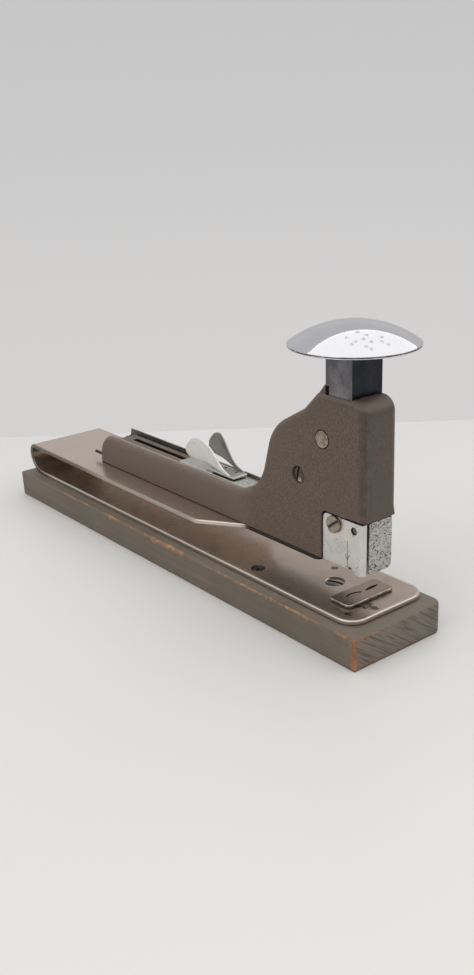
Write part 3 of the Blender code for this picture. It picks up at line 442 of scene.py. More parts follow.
def chrome():
    """Bright chrome with hairline scuffs and a few worn pits on the crown's near side."""
    s = Surface("chrome", metallic=1.0)
    hair = s.noise(1.0, 4, 0.7, s.stretched((2600, 240, 900), (0, 0, 0.6)))
    hair_two = s.noise(1.0, 4, 0.7, s.stretched((300, 2800, 900), (0, 0, -0.35)))
    cloud = s.noise(120, 4, 0.6)
    ragged = s.step(s.noise(1500, 3, 0.6), 0.38, 0.56)
    pits = s.times(s.spots(KNOB_PITS, 0.0003, 0.0009), ragged)
    stray = s.times(s.step(s.noise(760, 4, 0.7), 0.64, 0.7), s.step(s.noise(150, 3, 0.6), 0.5, 0.62))
    pits = s.most(pits, s.times(stray, 0.15))
    colour = s.mix(s.step(cloud, 0.3, 0.7), CHROME_TINT, shade_of(CHROME_TINT, 1.04))
    colour = s.mix(pits, colour, (0.3, 0.29, 0.28))
    scuff = s.most(s.step(hair, 0.6, 0.75), s.step(hair_two, 0.62, 0.75))
    rough = s.plus(s.step(cloud, 0.3, 0.7, 0.05, 0.09), s.times(scuff, 0.05))
    rough = s.plus(rough, s.times(pits, 0.3))
    relief = s.bump(s.minus(s.times(scuff, 0.15), pits), 0.00004, 0.4)
    return s.finish(colour, rough, relief)


def blued():
    """Blued bar, worn grey with drawn streaks on its sides and nearly black on its front."""
    s = Surface("blued_steel", metallic=0.85)
    ny = s.normal_axes()[1]
    streak = s.noise(1.0, 4, 0.65, s.stretched((1500, 1500, 40)))
    cloud = s.noise(110, 3, 0.6)
    side = s.step(s.size(ny), 0.5, 0.85)
    grey = s.mix(s.step(streak, 0.32, 0.7), BLUED_SIDE, shade_of(BLUED_SIDE, 1.3))
    grey = s.mix(s.step(s.noise(300, 3), 0.6, 0.75, 0.0, 0.5), grey, (0.06, 0.06, 0.068))
    grey = s.mix(s.step(s.noise(75, 4, 0.65), 0.42, 0.62, 0.0, 0.6), grey, (0.055, 0.055, 0.066))
    black = s.mix(s.step(cloud, 0.35, 0.68), (0.018, 0.022, 0.03), (0.04, 0.034, 0.048))
    black = s.mix(s.step(s.noise(45, 2), 0.55, 0.75, 0.0, 0.5), black, (0.02, 0.04, 0.036))
    colour = s.mix(side, black, grey)
    rough = s.step(streak, 0.3, 0.7, 0.32, 0.44)
    return s.finish(colour, rough, s.bump(streak, 0.00003, 0.5))


def dark_steel(name="dark_steel", tint=(0.19, 0.19, 0.175), dust=0.25, rough=0.34, glints=()):
    """Oiled steel with a film of dust, and painted highlights at the glints."""
    s = Surface(name, metallic=0.85)
    nz = s.normal_axes()[2]
    cloud = s.noise(140, 4, 0.6)
    drawn = s.noise(1.0, 4, 0.6, s.stretched((60, 1400, 1400)))
    colour = s.mix(s.step(cloud, 0.3, 0.7), shade_of(tint, 0.65), tint)
    film = s.times(s.step(nz, 0.3, 0.9), s.step(s.noise(420, 4, 0.7), 0.35, 0.65, dust * 0.4, dust))
    colour = s.mix(film, colour, (0.25, 0.205, 0.165))
    if glints:
        # painted highlight: small bright spots at the glints
        glint = s.times(s.spots(glints, 0.0004, 0.0012), s.step(s.noise(1500, 3), 0.44, 0.54))
        colour = s.mix(glint, colour, (0.75, 0.7, 0.62))
    roughness = s.plus(s.step(drawn, 0.3, 0.7, rough, rough + 0.12), s.times(film, 0.3))
    return s.finish(colour, roughness, s.bump(drawn, 0.00003, 0.5))


def wire(name, tint, rough):
    """Drawn wire with faint tarnish."""
    s = Surface(name, metallic=1.0)
    cloud = s.noise(380, 4, 0.6)
    colour = s.mix(s.step(cloud, 0.3, 0.72), shade_of(tint, 0.62), tint)
    colour = s.mix(s.step(s.noise(1500, 2), 0.62, 0.72, 0.0, 0.5), colour, (0.09, 0.075, 0.06))
    roughness = s.step(cloud, 0.3, 0.7, rough + 0.12, rough)
    return s.finish(colour, roughness, s.bump(s.noise(2600, 2), 0.00002, 0.4))


def recess(name="recess_shade", dark=(0.008, 0.007, 0.006), light=(0.05, 0.042, 0.034), scale=1400):
    """Dark grit at the bottom of slots, holes, grooves and engraved lines: painted shade in the near-black
    recesses, grease and dirt in the brown slots and the engraved lines.
    """
    s = Surface(name, specular=0.3)
    grit = s.noise(scale, 4, 0.6)
    colour = s.mix(grit if scale > 1000 else s.step(grit, 0.46, 0.54), dark, light)
    return s.finish(colour, s.step(grit, 0.3, 0.7, 0.5, 0.8), s.bump(grit, 0.00005, 0.6))


ENAMEL = enamel()
WOOD = painted_wood()
STAINS = [
    (0.1245, -0.0172, 0.0165), (0.1247, -0.0076, 0.0165), (0.1232, -0.0096, 0.0165),
    (0.1262, -0.0063, 0.0165), (0.1282, -0.0052, 0.0165), (0.1244, -0.0048, 0.0165),
    (0.0884, 0.0098, 0.0165),
]
STRIP = strip_steel(stains=STAINS)
ANVIL = strip_steel("anvil_steel", (0.33, 0.255, 0.2), folded=False)
NICKEL = nickel()
NICKEL_FRONT = nickel("nickel_pitted", 0.8, (0.6, 0.59, 0.56), 0.34, curls=1.0)
PIN_NICKEL = nickel("nickel_pin", 0.5, (0.42, 0.35, 0.28), 0.26, mottled=0.8)
EAR_NICKEL = nickel("nickel_ears", 0.25, (0.78, 0.765, 0.73), 0.36, without_painted_shade=False)
CHROME = chrome()
BLUED = blued()
DARK = dark_steel()
RAIL = dark_steel("rail_steel", (0.17, 0.14, 0.115), 0.85, 0.42)
SCREW = dark_steel("screw_steel", (0.3, 0.26, 0.22), 0.2, 0.3)
SCREW_GLINTS = [(0.0868, -0.0092, 0.0628), (0.0862, -0.0092, 0.0634)]
SIDE_SCREW = dark_steel("side_screw", (0.14, 0.105, 0.08), 0.0, 0.32, glints=SCREW_GLINTS)
SPRING = wire("spring_steel", (0.4, 0.39, 0.37), 0.24)
STAPLES = wire("staple_wire", (0.55, 0.56, 0.5), 0.26)
# painted shade for the bottoms of slots, holes, grooves and dents
RECESS_SHADE = recess()
GRIMY_SCREW = dark_steel("grimy_screw", (0.06, 0.05, 0.042), 0.15, 0.45)
GRIME = recess("brown_grime", (0.03, 0.02, 0.013), (0.11, 0.075, 0.05))
LINE = recess("engraved_line", (0.09, 0.08, 0.068), (0.2, 0.18, 0.155))
# painted shade for the dark line in the groove under the knob's rim
KNOB_RIM_SHADE = recess("knob_rim_shade", (0.012, 0.01, 0.01), (0.5, 0.49, 0.49), 150)


# ---------------------------------------------------------------- mesh tools


def arc_points(outline, step=6.0, spacing=None):
    """Points of a closed outline from corners (x, y, corner radius[, edge before, edge after]).

    The result rows are x, y and the two edge radii of the point. Straight runs are divided at the spacing.
    """
    rows = []
    count = len(outline)
    for index, corner in enumerate(outline):
        x, y, radius = corner[:3]
        before_r, after_r = (corner[3], corner[4]) if len(corner) > 3 else (0.0, 0.0)
        here = Vector((x, y))
        if radius <= 0:
            rows.append((x, y, before_r, after_r))
            continue
        back = (Vector(outline[index - 1][:2]) - here).normalized()
        ahead = (Vector(outline[(index + 1) % count][:2]) - here).normalized()
        half = back.angle(ahead) / 2
        centre = here + (back + ahead).normalized() * radius / math.sin(half)
        start = here + back * radius / math.tan(half) - centre
        end = here + ahead * radius / math.tan(half) - centre
        turn = start.angle_signed(end)
        steps = max(3, math.ceil(abs(math.degrees(turn)) / step))
        for k in range(steps + 1):
            share = k / steps
            c, s = math.cos(-turn * share), math.sin(-turn * share)
            edge = before_r + (after_r - before_r) * share
            across = centre.x + start.x * c - start.y * s
            along = centre.y + start.x * s + start.y * c
            rows.append((across, along, edge, edge))
    if spacing is None:
        return np.array(rows, float)
    dense = []
    for index, row in enumerate(rows):
        after = rows[(index + 1) % len(rows)]
        dense.append(row)
        parts = int(math.hypot(after[0] - row[0], after[1] - row[1]) / spacing)
        for k in range(1, parts):
            share = k / parts
            edge = row[3] + (after[2] - row[3]) * share
            middle = [row[axis] + (after[axis] - row[axis]) * share for axis in (0, 1)]
            dense.append((*middle, edge, edge))
    return np.array(dense, float)


def even_rows(outline, step=6.0, spacing=None, radius=1.0):
    """Rows of an outline whose edges all move in by the same radius."""
    rows = arc_points(outline, step, spacing)
    rows[:, 2:4] = radius
    return rows


def inward(rows):
    """Offset vectors that move each edge of the outline inwards by its own radius."""
    points = rows[:, :2]
    area = np.sum(points[:, 0] * np.roll(points[:, 1], -1) - np.roll(points[:, 0], -1) * points[:, 1])
    turn = 1.0 if area > 0 else -1.0
    ahead = np.roll(points, -1, 0) - points
    ahead /= np.linalg.norm(ahead, axis=1)[:, None]
    after = np.stack([-ahead[:, 1], ahead[:, 0]], 1) * turn
    before = np.roll(after, 1, 0)
    middle = before + after
    middle /= np.linalg.norm(middle, axis=1)[:, None]
    lean = np.sum(middle * after, 1)
    radius = (rows[:, 2] + rows[:, 3]) / 2
    moves = middle * (radius / lean)[:, None]
    for index in np.nonzero(lean < 0.94)[0]:
        system = np.array([before[index], after[index]])
        moves[index] = np.linalg.solve(system, rows[index, 2:4])
    return moves


def link(name, mesh, material):
    obj = bpy.data.objects.new(name, mesh)
    bpy.context.scene.collection.objects.link(obj)
    mesh.materials.append(material)
    return obj


def mesh_piece(name, verts, faces, material, edge=None):
    """A closed mesh with outward normals; edge is the wear value of each vertex."""
    mesh = bpy.data.meshes.new(name)
    mesh.from_pydata([tuple(v) for v in verts], [], faces)
    if edge is not None:
        attribute = mesh.attributes.new("edge", "FLOAT", "POINT")
        attribute.data.foreach_set("value", np.asarray(edge, np.float32))
    bm = bmesh.new()
    bm.from_mesh(mesh)
    bmesh.ops.recalc_face_normals(bm, faces=bm.faces)
    bm.to_mesh(mesh)
    bm.free()
    return link(name, mesh, material)


def ring_faces(layers, count):
    """Quads between each of the layers, rings of count points, and the next."""
    faces = []
    for low in range(0, (layers - 1) * count, count):
        for k in range(count):
            n = (k + 1) % count
            faces.append((low + k, low + n, low + count + n, low + count + k))
    return faces


def stack(name, rows, layers, material, upright=False, wear=None):
    """A closed solid from copies of an outline; a layer is (share of the edge radius, height)."""
    moves = inward(rows)
    count = len(rows)
    verts = []
    edge = []
    for number, (share, height) in enumerate(layers):
        flat = rows[:, :2] + moves * share
        level = np.full(count, height) if np.isscalar(height) else np.asarray(height)
        parts = (flat[:, 0], level, flat[:, 1]) if upright else (flat[:, 0], flat[:, 1], level)
        verts.append(np.stack(parts, 1))
        edge += [wear[number] if wear else 0.0] * count
    faces = [list(range(count)), list(range((len(layers) - 1) * count, len(layers) * count))]
    faces += ring_faces(len(layers), count)
    return mesh_piece(name, np.concatenate(verts) * MM, faces, material, edge)


def round_layers(low, high, radius, steps=4):
    """Layers of a slab with rounded rims, for an outline whose edge radii equal the radius."""
    angles = [math.pi / 2 * k / steps for k in range(steps + 1)]
    layers = [(1 - math.sin(a), low + radius * (1 - math.cos(a))) for a in angles]
    return layers + [(1 - math.sin(a), high - radius * (1 - math.cos(a))) for a in reversed(angles)]


def plate(name, outline, low, high, radius, material, upright=False):
    """A slab with rounded rims all round."""
    rows = even_rows(outline, radius=radius)
    layers = round_layers(low, high, radius)
    wear = [1.0] * len(layers)
    wear[0] = wear[-1] = 0.25
    return stack(name, rows, layers, material, upright, wear)


def lathe(name, profile, material, segments=72):
    """A turned piece around Z, its profile (radius, height) in mm running from axis to axis."""
    verts = []
    faces = []
    ring = []
    for radius, height in profile:
        if radius < 1e-6:
            ring.append([len(verts)])
            verts.append((0, 0, height * MM))
        else:
            ring.append(list(range(len(verts), len(verts) + segments)))
            for k in range(segments):
                a = 2 * math.pi * k / segments
                verts.append((radius * MM * math.cos(a), radius * MM * math.sin(a), height * MM))
    for first, second in zip(ring, ring[1:]):
        for k in range(segments):
            n = (k + 1) % segments
            if len(first) == 1:
                faces.append((first[0], second[k], second[n]))
            elif len(second) == 1:
                faces.append((first[k], first[n], second[0]))
            else:
                faces.append((first[k], first[n], second[n], second[k]))
    return mesh_piece(name, verts, faces, material)


def block(name, low, high, material):
    """A cutter block between two corners in mm."""
    verts = [[(low, high)[(k >> a) & 1][a] * MM for a in range(3)] for k in range(8)]
    faces = [(0, 1, 3, 2), (4, 5, 7, 6), (0, 1, 5, 4), (2, 3, 7, 6), (0, 2, 6, 4), (1, 3, 7, 5)]
    return mesh_piece(name, verts, faces, material)


def place(obj, origin, direction, turn=0.0):
    """Stands a piece that was turned around Z on its place, in mm."""
    facing = Vector(direction).to_track_quat("Z", "Y").to_matrix().to_4x4()
    matrix = Matrix.Translation(Vector(origin) * MM) @ facing @ Matrix.Rotation(turn, 4, "Z")
    obj.data.transform(matrix)
    return obj


def bake(obj):
    """Applies an object's modifiers to its mesh."""
    bpy.context.view_layer.update()
    graph = bpy.context.evaluated_depsgraph_get()
    final = obj.evaluated_get(graph)
    mesh = bpy.data.meshes.new_from_object(final, preserve_all_data_layers=True, depsgraph=graph)
    obj.modifiers.clear()
    obj.data = mesh
    return obj


def carve(obj, tools, operation="DIFFERENCE"):
    """Cuts tools from a piece, or joins or intersects it with them, and removes the tools."""
    for tool in tools:
        modifier = obj.modifiers.new(tool.name, "BOOLEAN")
        modifier.operation = operation
        modifier.solver = "EXACT"
        modifier.material_mode = "TRANSFER"
        modifier.object = tool
    bake(obj)
    for tool in tools:
        bpy.data.objects.remove(tool)
    return obj


def shade(obj, angle=32, weighted=True):
    """Smooth shading that keeps edges sharper than the angle."""
    obj.data.shade_smooth()
    obj.data.set_sharp_from_angle(angle=math.radians(angle))
    if weighted:
        modifier = obj.modifiers.new("Normals", "WEIGHTED_NORMAL")
        modifier.keep_sharp = True
    return obj


def put(obj, body, slot, *nodes):
    """Rides a finished piece on its body in place of CAD nodes."""
    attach(obj, body)
    if nodes:
        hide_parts(*nodes)
    return obj


def soften(obj, width):
    """Rounds the sharp edges of a piece; the width is in mm."""
    modifier = obj.modifiers.new("Bevel", "BEVEL")
    modifier.width = width * MM
    modifier.segments = 3
    modifier.limit_method = "ANGLE"
    modifier.angle_limit = math.radians(40)
    bake(obj)


def refined(name, node, body, slot, material, bevel, tools=()):
    """A copy of a CAD node with its cuts and softened edges."""
    obj = bpy.data.objects.new(name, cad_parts[node].data.copy())
    bpy.context.scene.collection.objects.link(obj)
    obj.data.materials.clear()
    obj.data.materials.append(material)
    bm = bmesh.new()
    bm.from_mesh(obj.data)
    bmesh.ops.remove_doubles(bm, verts=bm.verts, dist=0.002 * MM)
    bmesh.ops.dissolve_limit(bm, angle_limit=math.radians(0.5), verts=bm.verts, edges=bm.edges)
    bm.to_mesh(obj.data)
    bm.free()
    obj.data.polygons.foreach_set("material_index", [0] * len(obj.data.polygons))
    soften(obj, bevel)
    if tools:
        carve(obj, tools)
    shade(obj)
    return put(obj, body, slot, node)


def span(node):
    """Lowest and highest corner of a CAD node, in mm."""
    low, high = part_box(node)
    return np.array(low) / MM, np.array(high) / MM


# ---------------------------------------------------------------- wooden block


def wood_block():
    """Block with worn edges, its near rear corner drawn in towards the table."""
    low, high = span("wood_base")
    outline = [
        (low[0], low[1], 0.8),
        (high[0], low[1], 0.8),
        (high[0], high[1], 5.0),
        (low[0], high[1], 2.0),
    ]
    rows = even_rows(outline, 9.0, 1.6)
    levels = [(0.7, 0.0), (0.3, 0.12), (0.1, 0.5), (0.0, 1.4), (0.0, 4.0), (0.0, 7.0), (0.0, 10.0),
              (0.0, 12.5), (0.06, 13.2), (0.2, 13.62), (0.42, 13.88), (0.72, 14.0)]
    obj = stack("wooden_block", rows, levels, WOOD)
    count = len(rows)
    for index, vertex in enumerate(obj.data.vertices):
        layer = index // count
        co = vertex.co
        if co.x < (low[0] + 12) * MM and co.y < (low[1] + 12) * MM:
            drawn = (1 - co.z / (high[2] * MM)) * (1 - (co.x / MM - low[0]) / 12)
            co.x += 0.9 * drawn * MM
        if layer in (0, len(levels) - 1):
            continue
        rim = 1.0 if layer in (1, 2, 8, 9, 10) else 0.25
        dent = noise.noise(Vector((co.x * 60, co.y * 60, layer * 0.3))) * 0.1
        dent += max(0.0, noise.noise(Vector((co.x * 210, co.y * 210, 4.0))) - 0.25) * 0.5
        centre = Vector((max(low[0] + 6, min(high[0] - 6, co.x / MM)) * MM, 0, co.z))
        toward = (centre - co).normalized()
        co += toward * max(0.0, dent) * rim * MM
    shade(obj, 50)
    return put(obj, "base", "painted_wood", "wood_base")


# ---------------------------------------------------------------- folded strip

STRIP_HALF = 1.1
LOWER_MID = 15.35
BEND_Z = 26.0
LOWER_BEND = (-125.45, 10.65)
UPPER_BEND = (-132.0, 4.1)
LEAF_MID = 30.1
STRIP_FRONT = 132.2
RUN_LOWER = STRIP_FRONT - LOWER_BEND[0]
RUN_BEND = LOWER_BEND[1] * math.pi / 2
RUN_TURN = UPPER_BEND[1] * math.pi / 2


def on_strip(s, y, lift):
    """Place of a point of the flat strip, s along it from the front, after folding."""
    if s <= RUN_LOWER:
        return (STRIP_FRONT - s, y, LOWER_MID - lift)
    if s <= RUN_LOWER + RUN_BEND:
        a = 1.5 * math.pi - (s - RUN_LOWER) / LOWER_BEND[1]
        r = LOWER_BEND[1] + lift
        return (LOWER_BEND[0] + r * math.cos(a), y, BEND_Z + r * math.sin(a))
    if s <= RUN_LOWER + RUN_BEND + RUN_TURN:
        a = math.pi - (s - RUN_LOWER - RUN_BEND) / UPPER_BEND[1]
        r = UPPER_BEND[1] + lift
        return (UPPER_BEND[0] + r * math.cos(a), y, BEND_Z + r * math.sin(a))
    return (UPPER_BEND[0] + s - RUN_LOWER - RUN_BEND - RUN_TURN, y, LEAF_MID + lift)


def folded_strip():
    """One steel strip from its rounded front corners, round the rear bend, to the tongue under the head."""
    leaf = RUN_LOWER + RUN_BEND + RUN_TURN - UPPER_BEND[0]
    wide = 23.0
    half = [
        (0.0, wide, 8.5),
        (leaf + 27.5, wide, 5.0),
        (leaf + 48.5, 9.2, 6.0),
        (leaf + 98.0, 9.2, 3.0),
    ]
    outline = half + [(s, -y, r) for s, y, r in reversed(half)]
    rows = arc_points(outline, 5.0)
    rows = rows[: len(rows) // 2]
    dense = []
    for first, second in zip(rows, rows[1:]):
        dense.append(first)
        s = first[0]
        while True:
            bend = RUN_LOWER - 4 < s < RUN_LOWER + RUN_BEND + RUN_TURN + 4
            s += 0.8 if bend else 6.0
            if s > second[0] - 0.5:
                break
            share = (s - first[0]) / (second[0] - first[0])
            dense.append(first + (second - first) * share)
    dense.append(rows[-1])
    near = np.array(dense)
    mirrored = near[::-1].copy()
    mirrored[:, 1] *= -1
    rows = np.concatenate([near, mirrored])
    count = len(rows)
    half_count = len(near)
    radius = 0.55
    rows[:, 2:4] = 1.0
    moves = inward(rows)
    steps = 6
    rings = []
    for k in range(steps + 1):
        a = math.pi / 2 * k / steps
        lift = STRIP_HALF - radius * (1 - math.cos(a))
        rings.append((radius * (1 - math.sin(a)), lift, 0.35 + 0.65 * k / steps))
    rings = [(1.8, STRIP_HALF, 0.0)] + rings
    rings = [(inset, -lift, wear) for inset, lift, wear in rings] + rings[::-1]
    verts = []
    edge = []
    for inset, lift, wear in rings:
        flat = rows[:, :2] + moves * inset
        verts += [on_strip(s, y, lift) for s, y in flat]
        edge += [wear] * count
    faces = ring_faces(len(rings), count)
    for base in (0, (len(rings) - 1) * count):
        for k in range(half_count - 1):
            other = count - 1 - k
            faces.append((base + k, base + k + 1, base + other - 1, base + other))
    obj = mesh_piece("folded_strip", np.array(verts) * MM, faces, STRIP, edge)
    tools = []
    gap = 0.3
    for which in ("front", "near", "far", "middle", "rear"):
        lo, hi = span(f"base_screw_{which}")
        x, y, r = (lo[0] + hi[0]) / 2, (lo[1] + hi[1]) / 2, (hi[0] - lo[0]) / 2
        wall, throat = r + gap, r * 0.5 + gap
        profile = [(0, 4), (wall + 0.5, 4), (wall + 0.5, 0.3), (wall, -0.25), (throat, -1.9), (throat, -6),
                   (0, -6)]
        # small screws' holes take the recess colour: painted shade in the gap round their heads
        tool = lathe("hole", profile, RECESS_SHADE if r < 3 else STRIP, 48)
        tools.append(place(tool, (x, y, hi[2]), (0, 0, 1)))
    for which in ("rear", "middle", "front"):
        lo, hi = span(f"leaf_screw_{which}")
        x, y, r = (lo[0] + hi[0]) / 2, (lo[1] + hi[1]) / 2, (hi[0] - lo[0]) / 2
        throat = r * 0.5 + gap
        profile = [(0, 3), (r + 0.4, 3), (r + gap, 0), (throat, -1.5), (throat, -3), (0, -3)]
        tool = lathe("hole", profile, STRIP, 48)
        tools.append(place(tool, (x, y, lo[2]), (0, 0, -1)))
    carve(obj, tools)
    shade(obj, 40)
    # how far a point belongs to the upper strand, stored so that its colour doesn't change with the pose
    fold_from, fold_to = 22.0, 27.0
    heights = np.array([v.co.z for v in obj.data.vertices]) / MM
    raised = np.clip((heights - fold_from) / (fold_to - fold_from), 0.0, 1.0)
    upper = obj.data.attributes.new("leaf", "FLOAT", "POINT")
    upper.data.foreach_set("value", (raised**2 * (3 - 2 * raised)).astype(np.float32))
    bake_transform(obj)
    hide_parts("base_strip", "leaf_spring")
    return obj


def anvil():
    """Raised plate with two slightly curved clinch grooves, the near one with a land in it."""
    lo, hi = span("anvil_plate")
    outline = [(lo[0], lo[1] - 0.4, 2.2), (hi[0], lo[1] - 0.4, 2.2), (hi[0], hi[1], 2.2), (lo[0], hi[1], 2.2)]
    rows = even_rows(outline, radius=0.25)
    wear = [0.0] * 5 + [1.0] * 4 + [0.0]
    obj = stack("anvil", rows, round_layers(lo[2], hi[2], 0.25), ANVIL, wear=wear)

    def lens(ax, ay, bx, by, bow, half, low):
        left, right = [], []
        for k in range(13):
            t = k / 12
            wide = half * math.sin(math.pi * t**0.9) ** 0.6 + 0.02
            x = ax + (bx - ax) * t + bow * 4 * t * (1 - t)
            y = ay + (by - ay) * t
            left.append((x - wide, y))
            right.append((x + wide, y))
        points = np.array(left + right[::-1])
        return np.concatenate([points, np.full((len(points), 2), 1.0)], 1), [(0.0, low), (0.0, hi[2] + 1)]

    # the clinch grooves take the recess colour: painted shade in them
    carve(obj, [stack("groove", *lens(115.1, -9.0, 115.8, -0.5, -0.2, 1.3, hi[2] - 0.6), RECESS_SHADE),
                stack("groove", *lens(116.2, 1.2, 115.6, 9.6, -0.1, 0.85, hi[2] - 0.8), RECESS_SHADE)])
    rows = lens(115.3, -8.0, 115.9, -1.6, -0.2, 0.7, hi[2] - 0.7)[0]
    carve(obj, [stack("land", rows, [(0.0, hi[2] - 0.7), (0.0, hi[2] - 0.16)], ANVIL)], "UNION")
    shade(obj, 35)
    return put(obj, "base", "strip_steel", "anvil_plate")


# ---------------------------------------------------------------- head


ARM_BASE = 31.45
ARM_TOP = 48.0
TOE_Z = 54.1
HEAD_TOP = 104.6
HEAD_HALF = 9.9


def casting():
    """The arm and head as one soft-edged die casting."""
    corners = [
        (-78.5, ARM_BASE, 0.0, 3.0, 0.4),
        (100.5, ARM_BASE, 0.0, 0.4, 0.5),
        (100.5, 49.2, 0.0, 0.4, 0.4),
        (115.6, 49.2, 0.0, 0.4, 0.4),
        (115.6, TOE_Z, 0.0, 0.4, 0.35),
        (125.35, TOE_Z, 0.0, 0.35, 3.4),
        (125.9, 62.5, 12.0, 4.6, 4.6),
        (125.3, HEAD_TOP, 7.0, 4.6, 3.2),
        (97.9, HEAD_TOP, 5.0, 2.9, 2.9),
        (88.6, 95.3, 6.0, 3.0, 3.0),
        (67.4, 83.2, 22.0, 3.4, 3.4),
        (58.0, ARM_TOP, 22.0, 3.2, 3.7),
        (-79.3, ARM_TOP, 12.5, 3.7, 3.0),
    ]
    rows = arc_points(corners, 5.0, 3.0)
    # points closer together than the edge radius there would make the rim fold over itself
    heel = (rows[:, 1] == ARM_BASE) & (rows[:, 0] > -78.4) & (rows[:, 0] < -73)
    toe = (rows[:, 1] == TOE_Z) & (rows[:, 0] > 119) & (rows[:, 0] < 125.2)
    rows = rows[~(heel | toe)]
    edge_radius = (rows[:, 2] + rows[:, 3]) / 2
    layers = []
    steps = 7
    wear = []
    for side in (-1, 1):
        order = range(steps + 1) if side < 0 else range(steps, -1, -1)
        for k in order:
            a = math.pi / 2 * k / steps
            layers.append((1 - math.sin(a), side * (HEAD_HALF - edge_radius * (1 - math.cos(a)))))
            wear.append(0.0 if k in (0, steps) else 0.7)
    obj = stack("head_casting_body", rows, layers, ENAMEL, upright=True, wear=wear)
    collar = [(93.0, 96.5, 0.0), (104.0, 96.5, 0.0), (104.0, 107.7, 0.0), (100.4, 107.7, 1.2),
              (93.0, 98.6, 0.0)]
    carve(obj, [plate("collar", collar, -8.0, 8.0, 0.9, ENAMEL, upright=True)], "UNION")

    lo, hi = span("plunger")
    gap = 0.25
    bore = [(lo[0] - gap, lo[1] - gap, 0.6), (hi[0] + gap, lo[1] - gap, 0.6), (hi[0] + gap, hi[1] + gap, 0.6),
            (lo[0] - gap, hi[1] + gap, 0.6)]
    rows = even_rows(bore, 15)
    levels = [(0, 57.0), (0, 103.9), (-0.15, 104.35), (-0.35, 104.7), (-0.4, 112)]
    bore_cut = stack("bore", rows, levels, ENAMEL)
    trough = [(-66.5, -6.75, 1.0), (103.0, -6.75, 0.3), (103.0, 6.75, 0.3), (-66.5, 6.75, 1.0)]
    rows = even_rows(trough, 15)
    levels = [(0, 36.0), (0, 47.0), (-0.12, 47.5), (-0.45, 47.95), (-0.6, 49.3)]
    trough_cut = stack("trough", rows, levels, ENAMEL)
    pocket = [(100.55, 25.0, 0.0), (140.0, 25.0, 0.0), (140.0, 54.05, 0.0), (100.55, 54.05, 2.5)]
    pocket_rows = even_rows(pocket, 9)
    opening = even_rows([(-95.0, -6.6, 0.0), (-64.0, -6.6, 0.0), (-64.0, 6.6, 0.0), (-95.0, 6.6, 0.0)])
    scoop = even_rows([(-69.4, 53.0, 0), (-69.4, 47.4, 0), (-70.4, 45.4, 0), (-72.8, 43.7, 0),
                       (-75.9, 42.5, 0), (-90.0, 41.7, 0), (-90.0, 53.0, 0)])
    tools = [bore_cut, trough_cut, stack("opening", opening, [(0, 41.3), (0, 52.0)], ENAMEL)]
    tools.append(stack("scoop", scoop, [(0, 3.0), (0, 12.0)], ENAMEL, upright=True))
    for sign in (-1, 1):
        levels = [(0, sign * 7.05), (0, sign * 12)]
        tools.append(stack("pocket", pocket_rows, levels, ENAMEL, upright=True))
    tools.append(block("blade_way", (115.1, -6.0, 45.0), (117.3, 6.0, 60.0), ENAMEL))
    pin, screw = (101.1, 84.9), (86.2, 65.7)
    seats = ((pin, 4.05, 0.4, 0.2, -1), (screw, 3.68, 4.0, 0.75, -1), (pin, 2.25, 1.0, 0.35, 1))
    for (x, z), r, depth, soft, side in seats:
        floor = -depth - 0.2
        profile = [(0, 2), (r + soft + 0.1, 2), (r + soft, 0.02), (r + soft * 0.3, -soft * 0.35),
                   (r, -soft), (r, floor), (0, floor)]
        # the shallow seat takes the recess colour: a painted shadow ring round the stop pin
        tool = lathe("seat", profile, RECESS_SHADE if depth < 0.9 else ENAMEL, 64)
        tools.append(place(tool, (x, side * HEAD_HALF, z), (0, side, 0)))
    post = lathe("post_hole", [(0, 1), (2.85, 1), (2.85, -5.3), (0, -5.3)], ENAMEL, 32)
    tools.append(place(post, (109.4, 0, 57), (0, 0, 1)))
    latch = lathe("latch_hole", [(0, 1), (1.05, 1), (1.05, -7.3), (0, -7.3)], ENAMEL, 24)
    tools.append(place(latch, (-78.5, -8.0, 35.0), (-1, 0, 0)))
    for x in (-62.0, 10.0, 86.0):
        hole = lathe("screw_hole", [(0, 1), (1.9, 1), (1.9, -4.3), (0, -4.3)], ENAMEL, 24)
        tools.append(place(hole, (x, 0, ARM_BASE), (0, 0, -1)))
    carve(obj, tools)
    shade(obj, 34)
    return put(obj, "head", "enamel", "head_casting")


